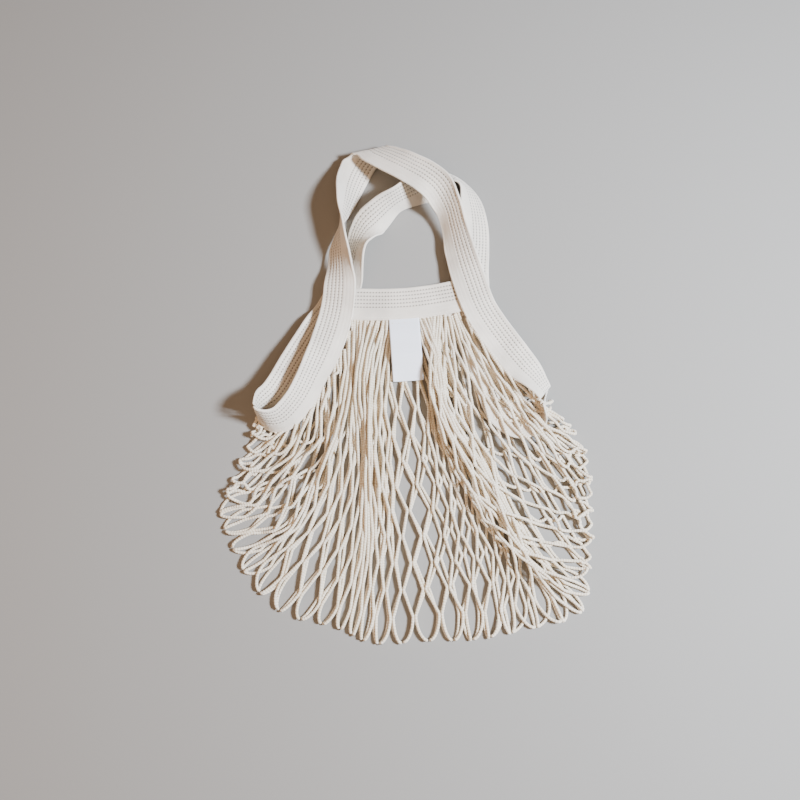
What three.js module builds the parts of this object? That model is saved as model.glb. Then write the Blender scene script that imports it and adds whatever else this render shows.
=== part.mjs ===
// Net shopping bag with short tape handles, lying on its back on a floor.
// Millimetres, +Z up from the floor, +Y towards the handles, origin under the middle of the bag.

import * as THREE from 'three';

// Driving dimensions
const TAPE_WIDTH = 34;
const TAPE_THICKNESS = 2;
const SEAM_GAP = 0.4;
const TAPE_STEPS_PER_ROW = 3;
const LONGEST_SLANT = 1.35;

const BAND_WIDTH = 34;
const BAND_THICKNESS = 3;
const BAND_STEPS = 4;

const LABEL_WIDTH = 31;
const LABEL_LENGTH = 62;
const LABEL_THICKNESS = 1;
const LABEL_STEPS = 6;

const NET_COLUMNS = 17;
const NET_ROWS_PER_LAYER = 9;
const KNOT_REACH = 2.8;
const STRAND_THICKNESS = 2.4;
const FRONT_LAYER_HEIGHT = 7;
const BACK_LAYER_HEIGHT = STRAND_THICKNESS / 2;
const FOLD_HEIGHT = (FRONT_LAYER_HEIGHT + BACK_LAYER_HEIGHT) / 2;
const EDGE_STOPS = 24;
const RISE_POWER = 3;
const MOUTH_RISE_END = 0.7;
const SIDE_RISE_END = 0.25;
const BUNCHES_END = 0.87;
const SEWING_GAP = 2.4;
const UNDER_FROM = 0.3;
const UNDER_TO = 0.55;
const FLOOR_GAP = 0.1;

// Moves the bag so that the middle of its box stands over the origin
const LAY_SHIFT = { x: -0.9, y: 4 };

const COTTON_TAPE = { color: 0xe9e5dc, roughness: 0.92, metalness: 0 };
const COTTON_YARN = { color: 0xddd6c4, roughness: 0.95, metalness: 0 };
const SATIN_LABEL = { color: 0xe6eaf2, roughness: 0.55, metalness: 0 };

// One loop of tape: it binds the mouth of the bag at both sides and stands up as two handles.
// x, y, z: middle of the tape. aim, lift: compass angle and rise, in degrees, of the line across
// the tape from its free rim to the edge that the net is sewn to.
const TAPE_LOOP = [
  { at: 'left seam', x: -147, y: -37, z: 22, aim: -75, lift: -86 },
  { at: 'front cup tip', x: -138, y: -46, z: 21.4, aim: -72, lift: -66 },
  { at: 'front cup low', x: -124, y: -45, z: 19.5, aim: -50, lift: -52 },
  { at: 'front cup middle', x: -106, y: -26, z: 19.5, aim: -24, lift: -44 },
  { at: 'front cup high', x: -91, y: 4, z: 19.5, aim: -14, lift: -36 },
  { at: 'front cup top', x: -81, y: 29, z: 18, aim: -12, lift: -22 },
  { at: 'over front band, left', x: -71, y: 66, z: 14.4, aim: -8, lift: 0 },
  { at: 'front left leg foot', x: -68, y: 95, z: 16.5, aim: -4, lift: 14 },
  { at: 'front left leg low', x: -68, y: 113, z: 18, aim: -6, lift: 36 },
  { at: 'front left leg middle', x: -69, y: 138, z: 18.5, aim: -10, lift: 56 },
  { at: 'front left leg on edge', x: -68, y: 162, z: 18.5, aim: -20, lift: 84 },
  { at: 'front left leg turned', x: -63, y: 186, z: 17, aim: -178, lift: 62 },
  { at: 'front left leg high', x: -58, y: 211, z: 11, aim: 174, lift: 33 },
  { at: 'front fold foot', x: -51, y: 229, z: 8, aim: 182, lift: 16 },
  { at: 'front fold in', x: -43, y: 241, z: 9, aim: 191, lift: 9 },
  { at: 'front fold crest', x: -38, y: 245, z: 15, aim: 195, lift: 6 },
  { at: 'front fold out', x: -31, y: 239, z: 21, aim: 203, lift: 4 },
  { at: 'front arch left', x: -14, y: 227, z: 28.5, aim: 228, lift: 3 },
  { at: 'front arch middle', x: 2, y: 216, z: 33.5, aim: 238, lift: 0 },
  { at: 'front arch right', x: 17, y: 206, z: 35.5, aim: 238, lift: -6 },
  { at: 'front right shoulder', x: 31, y: 194, z: 34, aim: 232, lift: -24 },
  { at: 'front right leg high', x: 42, y: 176, z: 28, aim: 212, lift: -48 },
  { at: 'front right leg middle', x: 48, y: 156, z: 22, aim: 198, lift: -48 },
  { at: 'front right leg low', x: 54, y: 131, z: 18.5, aim: 194, lift: -32 },
  { at: 'front right leg foot', x: 62, y: 103, z: 17, aim: 198, lift: -12 },
  { at: 'over front band, right', x: 74, y: 70, z: 14.4, aim: 205, lift: -1 },
  { at: 'front strap high', x: 93, y: 40, z: 12.8, aim: 213, lift: -5 },
  { at: 'front strap low', x: 114, y: 12, z: 12.5, aim: 219, lift: 6 },
  { at: 'front strap end', x: 128, y: -5, z: 14.5, aim: 220, lift: 34 },
  { at: 'right seam', x: 136, y: -19, z: 14.2, aim: 238, lift: 50 },
  { at: 'back strap end', x: 128, y: -36, z: 9.5, aim: -66, lift: 24 },
  { at: 'back strap low', x: 113, y: -46, z: 7, aim: -86, lift: 17 },
  { at: 'back strap middle', x: 96, y: -36, z: 6, aim: -128, lift: 14 },
  { at: 'back strap high', x: 82, y: 2, z: 4, aim: -160, lift: 8 },
  { at: 'back strap top', x: 73, y: 40, z: 2.6, aim: -168, lift: 4 },
  { at: 'back band foot, right', x: 70, y: 62, z: 1.2, aim: -171, lift: 0 },
  { at: 'under back band, right', x: 68, y: 96, z: 1.2, aim: -175, lift: 0 },
  { at: 'back right leg foot', x: 68, y: 118, z: 5.4, aim: -176, lift: 13 },
  { at: 'back right leg middle', x: 71, y: 151, z: 9.6, aim: -172, lift: 29 },
  { at: 'back right leg high', x: 68, y: 183, z: 12.6, aim: -163, lift: 42 },
  { at: 'back right shoulder', x: 60, y: 204, z: 16, aim: -140, lift: 60 },
  { at: 'back arch right', x: 47, y: 212, z: 15, aim: -108, lift: 54 },
  { at: 'back arch rising', x: 33, y: 211, z: 8, aim: -76, lift: 18 },
  { at: 'back arch under front', x: 18, y: 206, z: 9, aim: -62, lift: -26 },
  { at: 'back arch middle', x: 4, y: 197, z: 14.8, aim: -58, lift: -52 },
  { at: 'back arch left', x: -12, y: 187, z: 16.2, aim: -56, lift: -61 },
  { at: 'back arch foot', x: -29, y: 173, z: 12.5, aim: -54, lift: -38 },
  { at: 'back left corner', x: -45, y: 155, z: 12, aim: -34, lift: 24 },
  { at: 'back left leg high', x: -52, y: 137, z: 14.6, aim: -16, lift: 50 },
  { at: 'back left leg low', x: -59, y: 113, z: 10, aim: -12, lift: 32 },
  { at: 'under back band, left', x: -65, y: 95, z: 1.2, aim: -14, lift: 0 },
  { at: 'back band foot, left', x: -77, y: 72, z: 1.2, aim: -26, lift: 0 },
  { at: 'back cup top', x: -88, y: 54, z: 5.6, aim: -26, lift: -13 },
  { at: 'back cup high', x: -109, y: 17, z: 10.6, aim: -28, lift: -22 },
  { at: 'back cup low', x: -129, y: -19, z: 15.4, aim: -33, lift: -32 },
];

// Mouth bands, a doubled length of the same tape for each layer. x, y, z: middle of the band.
const FRONT_BAND = [
  { x: -69, y: 76, z: 10.3 },
  { x: 2, y: 77, z: 10.3 },
  { x: 74, y: 89, z: 10.3 },
];
const BACK_BAND = [
  { x: -69, y: 75, z: 5.4 },
  { x: 2, y: 76, z: 5.4 },
  { x: 74, y: 84, z: 5.4 },
];

// Care label, hanging from under the front band over the net
const LABEL_TOP = { x: -3, y: 58.4, z: 11.4 };
const LABEL_HEADING = -86;
const LABEL_RISE = 4;

// Line that the net is folded along, from the left seam down, along the bottom and up to the right
// seam. It is the outline of the lying body.
const FOLD_LINE = [
  { x: -163, y: -82 },
  { x: -174, y: -107 },
  { x: -178, y: -133 },
  { x: -168, y: -162 },
  { x: -155, y: -191 },
  { x: -121, y: -222 },
  { x: -76, y: -245 },
  { x: -26, y: -257 },
  { x: 22, y: -257 },
  { x: 68, y: -254 },
  { x: 117, y: -245 },
  { x: 158, y: -226 },
  { x: 172, y: -184 },
  { x: 178, y: -130 },
  { x: 176, y: -82 },
  { x: 165, y: -54 },
];

// Bunches of the front net. mouth, fold: where a bunch starts and ends, as a share of the width.
// pull: how far its columns are drawn together. reach: its width. rise: its height in mm.
const BUNCHES = [
  { mouth: 0.2, fold: 0.42, pull: 0.4, reach: 0.08, rise: 4 },
  { mouth: 0.62, fold: 0.66, pull: 0.45, reach: 0.09, rise: 6 },
  { mouth: 0.92, fold: 0.82, pull: 0.3, reach: 0.07, rise: 3 },
];
// Where the front net lies like a tent over the standing right tip of the tape. top: height in mm
const TIP_TENT = { x: 131, y: -37, reach: 120, top: 37 };

const UP = new THREE.Vector3(0, 0, 1);

function vector(row) {
  return new THREE.Vector3(row.x, row.y, row.z ?? 0);
}

function direction(aim, lift) {
  const plan = THREE.MathUtils.degToRad(aim);
  const rise = THREE.MathUtils.degToRad(lift);
  const flat = Math.cos(rise);
  return new THREE.Vector3(flat * Math.cos(plan), flat * Math.sin(plan), Math.sin(rise));
}

function smooth(share) {
  const t = THREE.MathUtils.clamp(share, 0, 1);
  return t * t * (3 - 2 * t);
}

function solidOf(positions, triangles) {
  const geometry = new THREE.BufferGeometry();
  geometry.setAttribute('position', new THREE.Float32BufferAttribute(positions, 3));
  geometry.setIndex(triangles);
  geometry.computeVertexNormals();
  return geometry;
}

// A strip of rectangular section through a row of cross lines, closed at both ends
function stripGeometry(sections, thickness) {
  const positions = [];
  const triangles = [];
  for (const { middle, across, normal } of sections) {
    const lift = normal.clone().multiplyScalar(thickness / 2);
    const corners = [
      middle.clone().add(across).add(lift),
      middle.clone().sub(across).add(lift),
      middle.clone().sub(across).sub(lift),
      middle.clone().add(across).sub(lift),
    ];
    corners.forEach((corner) => positions.push(corner.x, corner.y, corner.z));
  }
  const corner = (section, index) => section * 4 + (index % 4);
  for (let i = 0; i + 1 < sections.length; i += 1) {
    for (let k = 0; k < 4; k += 1) {
      const near = corner(i, k);
      const nearNext = corner(i, k + 1);
      const far = corner(i + 1, k);
      const farNext = corner(i + 1, k + 1);
      const isUnderside = k === 2;
      if (isUnderside) triangles.push(near, far, nearNext, far, farNext, nearNext);
      else triangles.push(near, far, farNext, near, farNext, nearNext);
    }
  }
  const last = sections.length - 1;
  triangles.push(corner(0, 0), corner(0, 1), corner(0, 2), corner(0, 0), corner(0, 2), corner(0, 3));
  triangles.push(corner(last, 0), corner(last, 2), corner(last, 1));
  triangles.push(corner(last, 0), corner(last, 3), corner(last, 2));
  return solidOf(positions, triangles);
}

// The tape loop, as a closed curve of middles and one of cross directions
const loopMiddles = new THREE.CatmullRomCurve3(TAPE_LOOP.map(vector), true, 'centripetal');
const loopAcross = new THREE.CatmullRomCurve3(
  TAPE_LOOP.map((row) => direction(row.aim, row.lift)), true, 'catmullrom', 0.5);

function loopPlace(name, rowsOn = 0) {
  return (TAPE_LOOP.findIndex((row) => row.at === name) + rowsOn) / TAPE_LOOP.length;
}

function tapeSection(place) {
  const turn = ((place % 1) + 1) % 1;
  const middle = loopMiddles.getPoint(turn);
  const along = loopMiddles.getTangent(turn);
  const across = loopAcross.getPoint(turn).normalize();
  const normal = across.clone().cross(along).normalize();
  const slant = Math.min(1 / Math.sqrt(1 - across.dot(along) ** 2), LONGEST_SLANT);
  across.multiplyScalar(slant * TAPE_WIDTH / 2);
  const depth = Math.abs(across.z) + Math.abs(normal.z) * TAPE_THICKNESS / 2;
  middle.z = Math.max(middle.z, depth + FLOOR_GAP);
  return { middle, normal, across };
}

// Where the net is sewn to the tape, a stitch clear of its edge and not below the floor. The back
// net runs under the edge where the tape stands up.
function sewnEdge(place, isBack) {
  const { middle, across, normal } = tapeSection(place);
  const steepness = Math.abs(across.z) / across.length();
  const isLow = isBack && across.z < 0;
  const under = isLow ? smooth((steepness - UNDER_FROM) / (UNDER_TO - UNDER_FROM)) : 0;
  const away = across.clone().normalize().addScaledVector(normal, steepness * (1 - under)).setZ(0);
  away.setLength((SEWING_GAP + KNOT_REACH + TAPE_THICKNESS / 2) * (1 - under));
  const point = middle.add(across).add(away);
  point.z = Math.max(THREE.MathUtils.lerp(point.z, BACK_LAYER_HEIGHT, under), BACK_LAYER_HEIGHT);
  return point;
}

function tapeGeometry(from, to) {
  const rows = Math.round((to - from) * TAPE_LOOP.length);
  const steps = rows * TAPE_STEPS_PER_ROW;
  const sections = [];
  for (let i = 0; i <= steps; i += 1) {
    const place = from + (to - from) * i / steps;
    const section = tapeSection(place);
    if (i === 0 || i === steps) {
      const inward = loopMiddles.getTangent(((place % 1) + 1) % 1).setLength(SEAM_GAP / 2);
      section.middle.addScaledVector(inward, i === 0 ? 1 : -1);
    }
    sections.push(section);
  }
  return stripGeometry(sections, TAPE_THICKNESS);
}

function bandSection(rows, share) {
  const curve = new THREE.CatmullRomCurve3(rows.map(vector), false, 'centripetal');
  const along = curve.getTangent(share);
  const across = along.clone().cross(UP).setLength(BAND_WIDTH / 2);
  return { middle: curve.getPoint(share), across, normal: UP.clone() };
}

function bandGeometry(rows) {
  const sections = [];
  for (let i = 0; i <= BAND_STEPS; i += 1) {
    sections.push(bandSection(rows, i / BAND_STEPS));
  }
  return stripGeometry(sections, BAND_THICKNESS);
}

function labelGeometry() {
  const heading = direction(LABEL_HEADING, 0);
  const across = heading.clone().cross(UP).setLength(LABEL_WIDTH / 2);
  const sections = [];
  for (let i = 0; i <= LABEL_STEPS; i += 1) {
    const share = i / LABEL_STEPS;
    const middle = vector(LABEL_TOP).addScaledVector(heading, share * LABEL_LENGTH);
    middle.z += LABEL_RISE * smooth(share);
    sections.push({ middle, across, normal: UP.clone() });
  }
  return stripGeometry(sections, LABEL_THICKNESS);
}

function shares(count) {
  return Array.from({ length: count + 1 }, (_, i) => i / count);
}

function curveThrough(points) {
  return new THREE.CatmullRomCurve3(points, false, 'centripetal');
}

function tapeEdge(from, to, isBack) {
  return curveThrough(shares(EDGE_STOPS).map((share) => sewnEdge(from + (to - from) * share, isBack)));
}

function bandEdge(band, share) {
  const { middle, across } = bandSection(band, share);
  const point = middle.add(across).add(across.clone().setLength(SEWING_GAP + KNOT_REACH));
  point.z -= BAND_THICKNESS / 3;
  return point;
}

// One layer of the net between its four edges: the band at the mouth, the tape at both sides and
// the line that the net is folded along
function netLayer(band, left, right, height) {
  const start = left.getPoint(0);
  const end = right.getPoint(0);
  const between = shares(EDGE_STOPS)
    .map((share) => bandEdge(band, share))
    .filter((point) => point.x > start.x + KNOT_REACH && point.x < end.x - KNOT_REACH);
  const fold = curveThrough([left.getPoint(1), ...FOLD_LINE.map(vector), right.getPoint(1)]);
  return { mouth: curveThrough([start, ...between, end]), left, right, fold, height };
}

const leftSeam = loopPlace('left seam');
const rightSeam = loopPlace('right seam');
const FRONT_LAYER = netLayer(
  FRONT_BAND,
  tapeEdge(loopPlace('over front band, left', -0.2), leftSeam, false),
  tapeEdge(loopPlace('over front band, right', 0.1), rightSeam, false),
  FRONT_LAYER_HEIGHT);
const BACK_LAYER = netLayer(
  BACK_BAND,
  tapeEdge(loopPlace('back cup top', -0.5), leftSeam + 1, true),
  tapeEdge(loopPlace('back strap top', 0.9), rightSeam, true),
  BACK_LAYER_HEIGHT);

function fade(share) {
  return Math.max(0, 1 - share) ** RISE_POWER;
}

// A point of one layer. column: 0 to 1 from the left tape to the right one. row: 0 at the band to
// 1 at the fold.
function layerPoint(layer, column, row) {
  const isFront = layer === FRONT_LAYER;
  let across = column;
  let rise = 0;
  for (const bunch of isFront ? BUNCHES : []) {
    const crest = bunch.mouth + (bunch.fold - bunch.mouth) * row;
    const near = Math.exp(-(((across - crest) / bunch.reach) ** 2));
    const span = Math.sin(Math.PI * THREE.MathUtils.clamp(row / BUNCHES_END, 0, 1));
    across += (crest - across) * bunch.pull * near * span;
    rise += bunch.rise * near * span;
  }
  const mouth = layer.mouth.getPointAt(across);
  const fold = layer.fold.getPointAt(across);
  const left = layer.left.getPointAt(row);
  const right = layer.right.getPointAt(row);
  const leftCorner = layer.left.getPointAt(0);
  const rightCorner = layer.right.getPointAt(0);
  const point = mouth.clone().multiplyScalar(1 - row)
    .addScaledVector(fold, row)
    .addScaledVector(left, 1 - across)
    .addScaledVector(right, across)
    .addScaledVector(leftCorner, -(1 - across) * (1 - row))
    .addScaledVector(rightCorner, -across * (1 - row))
    .addScaledVector(layer.fold.getPointAt(0), -(1 - across) * row)
    .addScaledVector(layer.fold.getPointAt(1), -across * row);

  const foldShare = fade((1 - row) * NET_ROWS_PER_LAYER);
  const height = layer.height + (FOLD_HEIGHT - layer.height) * foldShare;
  const mouthShare = fade(row / MOUTH_RISE_END);
  const leftShare = fade(across / SIDE_RISE_END);
  const rightShare = fade((1 - across) / SIDE_RISE_END);
  point.z = height + (mouth.z - height) * mouthShare
    + (left.z - height) * leftShare - (leftCorner.z - height) * leftShare * mouthShare
    + (right.z - height) * rightShare - (rightCorner.z - height) * rightShare * mouthShare;
  if (isFront) {
    const away = Math.hypot(point.x - TIP_TENT.x, point.y - TIP_TENT.y) / TIP_TENT.reach;
    const tent = TIP_TENT.top * (1 - smooth(away)) * (1 - foldShare);
    point.z = Math.max(point.z + rise, tent);
  }
  return point;
}

// A point of the whole net, a rectangle from the front band (row 0) over the fold (1) to the back
// band (2)
function netPoint(column, row) {
  const across = THREE.MathUtils.clamp(column, 0, 1);
  const down = THREE.MathUtils.clamp(row, 0, 2);
  return down <= 1 ? layerPoint(FRONT_LAYER, across, down) : layerPoint(BACK_LAYER, across, 2 - down);
}

// The net as one solid: four-cornered knots joined by strands of the same thickness
function netGeometry() {
  const rows = 2 * NET_ROWS_PER_LAYER;
  const halfColumn = 0.5 / NET_COLUMNS;
  const halfRow = 0.5 / NET_ROWS_PER_LAYER;
  const positions = [];
  const triangles = [];
  const quad = (a, b, c, d) => triangles.push(a, b, c, a, c, d);

  const knots = [];
  for (let row = 0; row <= rows; row += 1) {
    const isBetween = row % 2 === 1;
    const count = isBetween ? NET_COLUMNS : NET_COLUMNS + 1;
    knots.push([]);
    for (let column = 0; column < count; column += 1) {
      const across = (column + (isBetween ? 0.5 : 0)) / NET_COLUMNS;
      const share = row / NET_ROWS_PER_LAYER;
      const middle = netPoint(across, share);
      const sideways = netPoint(across + halfColumn, share).sub(netPoint(across - halfColumn, share));
      const down = netPoint(across, share + halfRow).sub(netPoint(across, share - halfRow)).normalize();
      sideways.addScaledVector(down, -sideways.dot(down)).normalize();
      const outward = down.clone().cross(sideways).multiplyScalar(STRAND_THICKNESS / 2);
      const reach = Math.max(Math.abs(sideways.z), Math.abs(down.z)) * KNOT_REACH;
      middle.z = Math.max(middle.z, reach + Math.abs(outward.z));
      const spots = {
        right: middle.clone().addScaledVector(sideways, KNOT_REACH),
        top: middle.clone().addScaledVector(down, -KNOT_REACH),
        left: middle.clone().addScaledVector(sideways, -KNOT_REACH),
        bottom: middle.clone().addScaledVector(down, KNOT_REACH),
      };
      const knot = { outer: {}, inner: {} };
      for (const [name, spot] of Object.entries(spots)) {
        knot.outer[name] = positions.length / 3;
        positions.push(...spot.clone().add(outward).toArray());
        knot.inner[name] = positions.length / 3;
        positions.push(...spot.clone().sub(outward).toArray());
      }
      knots[row].push(knot);
    }
  }

  const wall = (knotA, a, knotB, b) => {
    quad(knotA.outer[a], knotA.inner[a], knotB.inner[b], knotB.outer[b]);
  };
  const strand = (upper, lower, [upperFirst, upperSecond], [lowerFirst, lowerSecond]) => {
    quad(upper.outer[upperFirst], lower.outer[lowerFirst],
      lower.outer[lowerSecond], upper.outer[upperSecond]);
    quad(upper.inner[upperFirst], upper.inner[upperSecond],
      lower.inner[lowerSecond], lower.inner[lowerFirst]);
    wall(upper, upperFirst, lower, lowerFirst);
    wall(lower, lowerSecond, upper, upperSecond);
  };

  for (let row = 0; row <= rows; row += 1) {
    const shift = row % 2;
    knots[row].forEach((knot, column) => {
      const { outer, inner } = knot;
      quad(outer.right, outer.top, outer.left, outer.bottom);
      quad(inner.right, inner.bottom, inner.left, inner.top);
      const above = knots[row - 1] ?? [];
      const below = knots[row + 1] ?? [];
      const lowerLeft = below[column + shift - 1];
      const lowerRight = below[column + shift];
      if (!above[column + shift]) wall(knot, 'right', knot, 'top');
      if (!above[column + shift - 1]) wall(knot, 'top', knot, 'left');
      if (lowerLeft) strand(knot, lowerLeft, ['left', 'bottom'], ['top', 'right']);
      else wall(knot, 'left', knot, 'bottom');
      if (lowerRight) strand(knot, lowerRight, ['bottom', 'right'], ['left', 'top']);
      else wall(knot, 'bottom', knot, 'right');
    });
  }
  return solidOf(positions, triangles);
}

const bag = new THREE.Group();
bag.position.set(LAY_SHIFT.x, LAY_SHIFT.y, 0);

function addPiece(name, geometry, finish) {
  const mesh = new THREE.Mesh(geometry, new THREE.MeshStandardMaterial(finish));
  mesh.name = name;
  bag.add(mesh);
}

addPiece('front_handle', tapeGeometry(leftSeam, rightSeam), COTTON_TAPE);
addPiece('back_handle', tapeGeometry(rightSeam, leftSeam + 1), COTTON_TAPE);
addPiece('front_band', bandGeometry(FRONT_BAND), COTTON_TAPE);
addPiece('back_band', bandGeometry(BACK_BAND), COTTON_TAPE);
addPiece('label', labelGeometry(), SATIN_LABEL);
addPiece('net', netGeometry(), COTTON_YARN);

export default bag;
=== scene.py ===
"""Net shopping bag lying on its back: knitted tape, two mouth bands, a plain label and the knitted net.

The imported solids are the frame. Every piece here stands for one of them and shows what it is made of.
Shapes are worked out in millimetres in the frame's axes and turned to metres when a mesh is made.
"""

import functools
from collections import namedtuple

import bmesh
import bpy
import numpy as np
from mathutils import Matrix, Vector


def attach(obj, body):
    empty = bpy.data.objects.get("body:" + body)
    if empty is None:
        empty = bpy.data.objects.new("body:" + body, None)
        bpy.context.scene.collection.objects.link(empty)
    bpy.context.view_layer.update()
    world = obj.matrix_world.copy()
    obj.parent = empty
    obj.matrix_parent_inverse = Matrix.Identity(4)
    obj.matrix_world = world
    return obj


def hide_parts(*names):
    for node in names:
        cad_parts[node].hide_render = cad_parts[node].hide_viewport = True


bl_info = {
    "name": "Net shopping bag",
    "version": (1, 0, 0),
    "blender": (4, 5, 0),
    "location": "3D View > Sidebar > Net bag",
    "description": "Makes the tape, bands, label and net of a cotton shopping bag that lies on its back",
    "category": "Add Mesh",
}

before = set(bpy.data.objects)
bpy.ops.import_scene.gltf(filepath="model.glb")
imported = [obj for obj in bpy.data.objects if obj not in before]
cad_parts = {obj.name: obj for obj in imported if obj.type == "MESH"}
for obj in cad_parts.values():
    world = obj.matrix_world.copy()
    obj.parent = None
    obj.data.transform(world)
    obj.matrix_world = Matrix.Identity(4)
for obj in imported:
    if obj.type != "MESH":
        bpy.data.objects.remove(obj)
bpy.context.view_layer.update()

MM = 0.001
BODY = "root"

# The bag lies so that the middle of its box stands over the origin
LAY_SHIFT = np.array([-0.9, 4.0, 0.0])

# The loop of tape that binds the mouth and stands up as two handles. x, y, z: middle of the tape.
# aim, lift: compass angle and rise of the line from its free rim to the edge that the net is sewn to.
TapeRow = namedtuple("TapeRow", "at x y z aim lift")
TAPE_LOOP = [
    TapeRow("left seam", -147, -37, 22, -75, -86),
    TapeRow("front cup tip", -138, -46, 21.4, -72, -66),
    TapeRow("front cup low", -124, -45, 19.5, -50, -52),
    TapeRow("front cup middle", -106, -26, 19.5, -24, -44),
    TapeRow("front cup high", -91, 4, 19.5, -14, -36),
    TapeRow("front cup top", -81, 29, 18, -12, -22),
    TapeRow("over front band, left", -71, 66, 14.4, -8, 0),
    TapeRow("front left leg foot", -68, 95, 16.5, -4, 14),
    TapeRow("front left leg low", -68, 113, 18, -6, 36),
    TapeRow("front left leg middle", -69, 138, 18.5, -10, 56),
    TapeRow("front left leg on edge", -68, 162, 18.5, -20, 84),
    TapeRow("front left leg turned", -63, 186, 17, -178, 62),
    TapeRow("front left leg high", -58, 211, 11, 174, 33),
    TapeRow("front fold foot", -51, 229, 8, 182, 16),
    TapeRow("front fold in", -43, 241, 9, 191, 9),
    TapeRow("front fold crest", -38, 245, 15, 195, 6),
    TapeRow("front fold out", -31, 239, 21, 203, 4),
    TapeRow("front arch left", -14, 227, 28.5, 228, 3),
    TapeRow("front arch middle", 2, 216, 33.5, 238, 0),
    TapeRow("front arch right", 17, 206, 35.5, 238, -6),
    TapeRow("front right shoulder", 31, 194, 34, 232, -24),
    TapeRow("front right leg high", 42, 176, 28, 212, -48),
    TapeRow("front right leg middle", 48, 156, 22, 198, -48),
    TapeRow("front right leg low", 54, 131, 18.5, 194, -32),
    TapeRow("front right leg foot", 62, 103, 17, 198, -12),
    TapeRow("over front band, right", 74, 70, 14.4, 205, -1),
    TapeRow("front strap high", 93, 40, 12.8, 213, -5),
    TapeRow("front strap low", 114, 12, 12.5, 219, 6),
    TapeRow("front strap end", 128, -5, 14.5, 220, 34),
    TapeRow("right seam", 136, -19, 14.2, 238, 50),
    TapeRow("back strap end", 128, -36, 9.5, -66, 24),
    TapeRow("back strap low", 113, -46, 7, -86, 17),
    TapeRow("back strap middle", 96, -36, 6, -128, 14),
    TapeRow("back strap high", 82, 2, 4, -160, 8),
    TapeRow("back strap top", 73, 40, 2.6, -168, 4),
    TapeRow("back band foot, right", 70, 62, 1.2, -171, 0),
    TapeRow("under back band, right", 68, 96, 1.2, -175, 0),
    TapeRow("back right leg foot", 68, 118, 5.4, -176, 13),
    TapeRow("back right leg middle", 71, 151, 9.6, -172, 29),
    TapeRow("back right leg high", 68, 183, 12.6, -163, 42),
    TapeRow("back right shoulder", 60, 204, 16, -140, 60),
    TapeRow("back arch right", 47, 212, 15, -108, 54),
    TapeRow("back arch rising", 33, 211, 8, -76, 18),
    TapeRow("back arch under front", 18, 206, 9, -62, -26),
    TapeRow("back arch middle", 4, 197, 14.8, -58, -52),
    TapeRow("back arch left", -12, 187, 16.2, -56, -61),
    TapeRow("back arch foot", -29, 173, 12.5, -54, -38),
    TapeRow("back left corner", -45, 155, 12, -34, 24),
    TapeRow("back left leg high", -52, 137, 14.6, -16, 50),
    TapeRow("back left leg low", -59, 113, 10, -12, 32),
    TapeRow("under back band, left", -65, 95, 1.2, -14, 0),
    TapeRow("back band foot, left", -77, 72, 1.2, -26, 0),
    TapeRow("back cup top", -88, 54, 5.6, -26, -13),
    TapeRow("back cup high", -109, 17, 10.6, -28, -22),
    TapeRow("back cup low", -129, -19, 15.4, -33, -32),
]

# How far a slanting line across the tape may be stretched, and the gap that pieces keep to the floor
LONGEST_SLANT = 1.35
FLOOR_GAP = 0.1

# Powers of the squared distance between points, which the two kinds of curve are timed by
CENTRIPETAL = 0.25
UNIFORM = 0

# Middles of the two mouth bands, from left to right
FRONT_BAND = [(-69, 76, 10.3), (2, 77, 10.3), (74, 89, 10.3)]
BACK_BAND = [(-69, 75, 5.4), (2, 76, 5.4), (74, 84, 5.4)]

# Outline of the lying net, from the left tip of the mouth round the bottom to the right tip
FOLD_LINE = [
    (-163, -82), (-174, -107), (-178, -133), (-168, -162),
    (-155, -191), (-121, -222), (-76, -245), (-26, -257),
    (22, -257), (68, -254), (117, -245), (158, -226),
    (172, -184), (178, -130), (176, -82), (165, -54),
]

# Where a column of the net is sewn, for the share of the fold that it reaches.
# mouth: 0 to 1 along the left tape edge, 1 to 2 along the band, 2 to 3 along the right tape edge
MouthShare = namedtuple("MouthShare", "fold mouth")
GATHER = [
    MouthShare(0.0, 0.0),
    MouthShare(0.26, 1.0),
    MouthShare(0.43, 1.33),
    MouthShare(0.58, 1.6),
    MouthShare(0.86, 2.0),
    MouthShare(1.0, 3.0),
]

# Bunches that the net is drawn into. fold: the column. pull: how far its neighbours come, and how far they
# still come at the fold. reach: its width
Bunch = namedtuple("Bunch", "fold pull end_pull reach")
BUNCHES = [Bunch(0.385, 0.85, 0.45, 0.075), Bunch(0.67, 0.6, 0.05, 0.08), Bunch(0.2, 0.3, 0.1, 0.05)]

# Places where the flow of the net bends aside. fold, down: the place. wide, tall: its spread. x, y: the shift
Sway = namedtuple("Sway", "fold down wide tall x y")
SWAYS = [Sway(0.385, 0.30, 0.08, 0.25, -16, 0), Sway(0.66, 0.33, 0.10, 0.25, -16, 0)]

# The label: where it leaves the band, and the compass angle that it hangs along
LABEL_TOP = (-3, 58.4)
LABEL_HEADING = -86

# How the net is sewn: under the bands, and at a share of the tape's half width
BAND_GATHER_WIDTH = 26
BAND_NET_DROP = 0.9
SEWN_SHARE = 0.95

# Rows of joints from the mouth to the fold: how far a row reaches, and the slack of each layer and side
ROW_STEPS = 6
ROW_REACH = 25.4
LEAST_ROWS = 1.5
FRONT_SLACK = 1.0
BACK_SLACK = 1.1
LEFT_SLACK = 0.15
LEFT_SIDE = 0.3
LEFT_EASE = 0.15

# Columns past which the rows drift along the fold, and by how many rows a strand
DRIFT_LEFT = 0.12
DRIFT_RIGHT = 0.74
FOLD_DRIFT = 0.3

# How far the flow runs square to the fold, which is less at the right
FOLD_SQUARE = 0.5
RIGHT_SQUARE = 0.25
SQUARE_FROM = 0.7
SQUARE_EASE = 0.15

# Shares of the way from mouth to fold in which bunches, sways and the shift of the back layer ease in
BUNCH_EASE = 0.3
SWAY_EASE = 0.12
SHIFT_EASE = 0.2

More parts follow.
